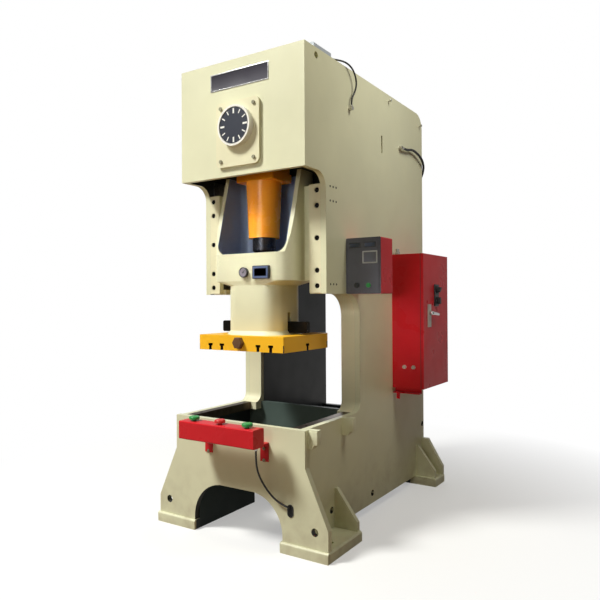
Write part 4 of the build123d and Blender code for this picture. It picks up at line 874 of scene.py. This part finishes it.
def make_grommet():
    front = base_low.y - 0.003
    low = (GROMMET_LOW[0], front, GROMMET_LOW[1])
    ring = block("cable_grommet", low, (GROMMET_HIGH[0], base_low.y, GROMMET_HIGH[1]))
    bevel_some(ring, lambda middle, line: abs(line.y) > 0.001 and abs(line.z) < 0.001, 0.0224, 8)
    dress(ring, hose_black, cable_dark)
    sink(ring, faces_front, 0.008, 0.002, (0, 1, 0), finish=1)
    round_edges(ring, 0.0008)
    place_piece(ring, "frame")


make_grommet()


# Lever handle of the cabinet, bent down a little from its boss
BOSS_RADIUS = 0.016
BOSS_INSET = 0.017
GRIP_LENGTH = 0.142
GRIP_THICKNESS = 0.015
GRIP_DROP = 5.5


def make_lever():
    boss_y, boss_z = handle_low.y + BOSS_INSET, handle_high.z - BOSS_INSET
    start, end = handle_low.x, handle_high.x
    deselect()
    bpy.ops.mesh.primitive_cylinder_add(
        vertices=32,
        radius=BOSS_RADIUS,
        depth=end - start,
        location=((start + end) / 2, boss_y, boss_z),
        rotation=(0, pi / 2, 0),
    )
    boss = settle("lever_boss")
    round_edges(boss, 0.002)
    low = (end - GRIP_THICKNESS, boss_y - 0.013, boss_z - 0.0125)
    grip = block("lever_grip", low, (end, boss_y + GRIP_LENGTH, boss_z + 0.0125))
    pick_faces(grip, lambda side: side.normal.y > 0.9)
    tip = (end, boss_y + GRIP_LENGTH, boss_z)
    bpy.ops.transform.resize(value=(0.75, 1, 0.8), center_override=tip)
    bpy.ops.mesh.select_all(action="SELECT")
    drop = radians(GRIP_DROP)
    bpy.ops.transform.rotate(value=drop, orient_axis="X", center_override=(end, boss_y, boss_z))
    bpy.ops.object.mode_set(mode="OBJECT")
    round_edges(grip, 0.005, 4)
    lever = join("lever_handle", [boss, grip])
    dress(lever, chrome)
    place_piece(lever, "handle")
    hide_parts("door_handle")


make_lever()


# Bare nameplate on the head: dark field in a thin metal frame
NAMEPLATE_HALF = 0.241
NAMEPLATE_BOTTOM = 2.933
NAMEPLATE_TOP = 3.049
NAMEPLATE_THICKNESS = 0.003


def make_nameplate():
    low = (-NAMEPLATE_HALF, head_low.y - NAMEPLATE_THICKNESS, NAMEPLATE_BOTTOM)
    plate = block("bare_nameplate", low, (NAMEPLATE_HALF, head_low.y, NAMEPLATE_TOP))
    dress(plate, trim_silver, plate_dark)
    sink(plate, faces_front, 0.007, 0.0012, (0, 1, 0), finish=1)
    round_edges(plate, 0.0008)
    place_piece(plate, "frame")


make_nameplate()


# Marks on the dial: twelve bars, the four at the quarters wider and longer
MARK_MARGIN = 0.006
MARK_HEIGHT = 0.0008
dial_centre = Vector(
    ((dial_low.x + dial_high.x) / 2, dial_low.y, (dial_low.z + dial_high.z) / 2)
)


def make_mark(half_width, length):
    """Bar at the top of the dial."""
    top = dial_high.z - MARK_MARGIN
    low = (-half_width, dial_centre.y - MARK_HEIGHT, top - length)
    mark = block("mark", low, (half_width, dial_centre.y, top))
    round_edges(mark, 0.0003, 1)
    dress(mark, tick_white)
    return mark


def make_dial_marks():
    marks = []
    for half_width, length, hours in (
        (0.0062, 0.034, (0, 3, 6, 9)),
        (0.0038, 0.029, (1, 2, 4, 5, 7, 8, 10, 11)),
    ):
        first = make_mark(half_width, length)
        bars = [first] + [copied(first, "mark") for _ in hours[1:]]
        for bar, hour in zip(bars, hours):
            turn_about_y(bar, hour * pi / 6, dial_centre)
        marks += bars
    place_piece(join("dial_marks", marks), "crank")


make_dial_marks()


# Screen and two counters on the control panel, height display on the slide
def make_window(name, low, high, border, frame_finish, glass_finish):
    """Window sunk into a frame, facing the front."""
    window = block(name, low, high)
    dress(window, frame_finish, glass_finish)
    sink(window, faces_front, border, 0.0025, (0, 1, 0), finish=1)
    round_edges(window, 0.0012)
    return window


COUNTER_SPACING = 0.112

fascia = panel_low.y
screen = make_window(
    "panel_screen",
    (0.640, fascia - 0.006, 1.779),
    (0.748, fascia, 1.861),
    0.007,
    grey_abs,
    screen_grey,
)
counter = make_window(
    "panel_counter_left",
    (0.538, fascia - 0.005, 1.884),
    (0.624, fascia, 1.920),
    0.005,
    black_abs,
    screen_blue,
)
other_counter = moved(counter, "panel_counter_right", (COUNTER_SPACING, 0, 0))
for window in (screen, counter, other_counter):
    place_piece(window, "frame")

display = make_window(
    "slide_display_window",
    (0.061, instruments_front - 0.002, 1.684),
    (0.180, instruments_front, 1.758),
    0.011,
    display_frame,
    screen_black,
)
place_piece(display, "slide")


# Air gauge on the slide
gauge_middle = Vector((-0.021, instruments_front, 1.723))
GAUGE_RADIUS = 0.034
NEEDLE_ANGLE = -40


def make_gauge():
    case = disc("air_gauge_case", gauge_middle + Vector((0, 0.004, 0)), GAUGE_RADIUS, 0.008)
    dress(case, black_abs, gauge_face)
    sink(case, faces_front, 0.005, 0.003, (0, 1, 0), finish=1)
    round_edges(case, 0.001)
    place_piece(case, "slide")
    hub_back = gauge_middle - Vector((0, 0.0005, 0))
    hub = disc("air_gauge_needle", hub_back, 0.005, 0.0015, 16)
    low = gauge_middle + Vector((-0.0015, -0.0018, -0.008))
    hand = block("hand", low, gauge_middle + Vector((0.0015, -0.0008, 0.023)))
    turn_about_y(hand, radians(NEEDLE_ANGLE), gauge_middle)
    needle = join("air_gauge_needle", [hub, hand])
    dress(needle, black_abs)
    place_piece(needle, "slide")


make_gauge()


# Floor, backdrop and lights
FLOOR_RADIUS = 40
MIRRORED_SHARE = 0.4
FADE_START = 1.2
FADE_END = 3.2


def seen_background(tree):
    """1 for what the eye and glass see, less for what paint and metal mirror, and 0
    for the light on the object."""
    path = add(tree, "LightPath").outputs
    inputs = {0: path["Is Glossy Ray"], 1: MIRRORED_SHARE}
    glossy = add(tree, "Math", inputs, 0, operation="MULTIPLY")
    inputs = {0: glossy, 1: path["Is Transmission Ray"]}
    bent = add(tree, "Math", inputs, 0, operation="MAXIMUM")
    return add(tree, "Math", {0: path["Is Camera Ray"], 1: bent}, 0, operation="MAXIMUM")


def make_floor():
    """Pale floor that keeps the object's shadow near it and turns white further out. It
    throws brown light back, as a workshop floor does."""
    deselect()
    bpy.ops.mesh.primitive_circle_add(
        vertices=96, radius=FLOOR_RADIUS, fill_type="NGON", location=(0, 0, 0)
    )
    floor = settle("studio_floor")
    made, tree, shader, place = start_finish("pale_studio_floor", 0.85)
    seen = seen_background(tree)
    inputs = {0: seen, 6: linear("#7A5F38"), 7: linear("#F4F4F2")}
    tone = add(tree, "Mix", inputs, 2, data_type="RGBA")
    join_shader(tree, shader, Base_Color=tone)
    distance = add(tree, "VectorMath", {0: place}, "Value", operation="LENGTH")
    inputs = {"Value": distance, 1: FADE_START, 2: FADE_END, 3: 0.35, 4: 1.0}
    far = add(tree, "MapRange", inputs, 0)
    amount = add(tree, "Math", {0: seen, 1: far}, 0, operation="MULTIPLY")
    white = add(tree, "Emission", {"Color": (1, 1, 1, 1), "Strength": 1.0}, 0)
    mixed = add(tree, "MixShader", {0: amount, 1: shader.outputs[0], 2: white}, 0)
    tree.links.new(mixed, tree.nodes["Material Output"].inputs["Surface"])
    dress(floor, made)


def make_world():
    """White to the eye, and a weak warm light on the object."""
    world = bpy.data.worlds.new("studio")
    bpy.context.scene.world = world
    world.use_nodes = True
    tree = world.node_tree
    tree.nodes.clear()
    soft = add(tree, "Background", {"Color": (1, 0.95, 0.84, 1), "Strength": 0.07}, 0)
    white = add(tree, "Background", {"Color": (1, 1, 1, 1), "Strength": 1.0}, 0)
    mixed = add(tree, "MixShader", {0: seen_background(tree), 1: soft, 2: white}, 0)
    add(tree, "OutputWorld", {"Surface": mixed})


# Name, place, aim, size in metres, watts, colour, and the cone that it shines into in
# degrees: 180 is open, and a narrow one lights only the pieces that it is aimed at
LAMPS = (
    ("key", (-4.6, -6.4, 10.2), (0, -0.9, 1.7), 2.4, 1730, (1.0, 1.0, 0.97), 180),
    ("front_fill", (0.9, -6.2, 2.7), (0.25, -0.6, 2.0), 1.0, 2.0, (1.0, 0.98, 0.9), 40),
    ("low_fill", (1.2, -6.4, 2.4), (0.3, -0.9, 1.2), 2.0, 22, (1.0, 0.99, 0.92), 180),
    ("side_fill", (2.4, -0.3, 5.1), (0.5, 0.2, 2.7), 1.4, 52, (1.0, 0.95, 0.8), 180),
    ("head_fill", (2.9, 0.2, 5.0), (0.5, 0.1, 2.8), 1.0, 3.2, (0.95, 0.97, 1.0), 50),
    ("rod_fill", (-0.6, -6.0, 1.7), (-0.02, -0.6, 1.98), 0.5, 0.46, (1.0, 0.98, 0.94), 8.5),
    ("cabinet_fill", (2.2, -6.3, 1.6), (0.68, 0.1, 1.4), 0.6, 0.34, (1.0, 0.97, 0.95), 7),
    ("rear_fill", (-2.5, 6.0, 4.0), (0, 0.5, 1.8), 4.0, 110, (0.95, 0.97, 1.0), 180),
)


def make_lamp(name, place, aim, size, power, colour, cone):
    """Square lamp that faces its aim."""
    data = bpy.data.lights.new(name, "AREA")
    data.size = size
    data.energy = power
    data.color = colour
    data.spread = radians(cone)
    lamp = bpy.data.objects.new(name, data)
    lamp.location = place
    lamp.rotation_euler = (Vector(aim) - Vector(place)).to_track_quat("-Z", "Y").to_euler()
    bpy.context.scene.collection.objects.link(lamp)


make_floor()
make_world()
for lamp in LAMPS:
    make_lamp(*lamp)

bpy.context.scene.view_settings.view_transform = "Standard"
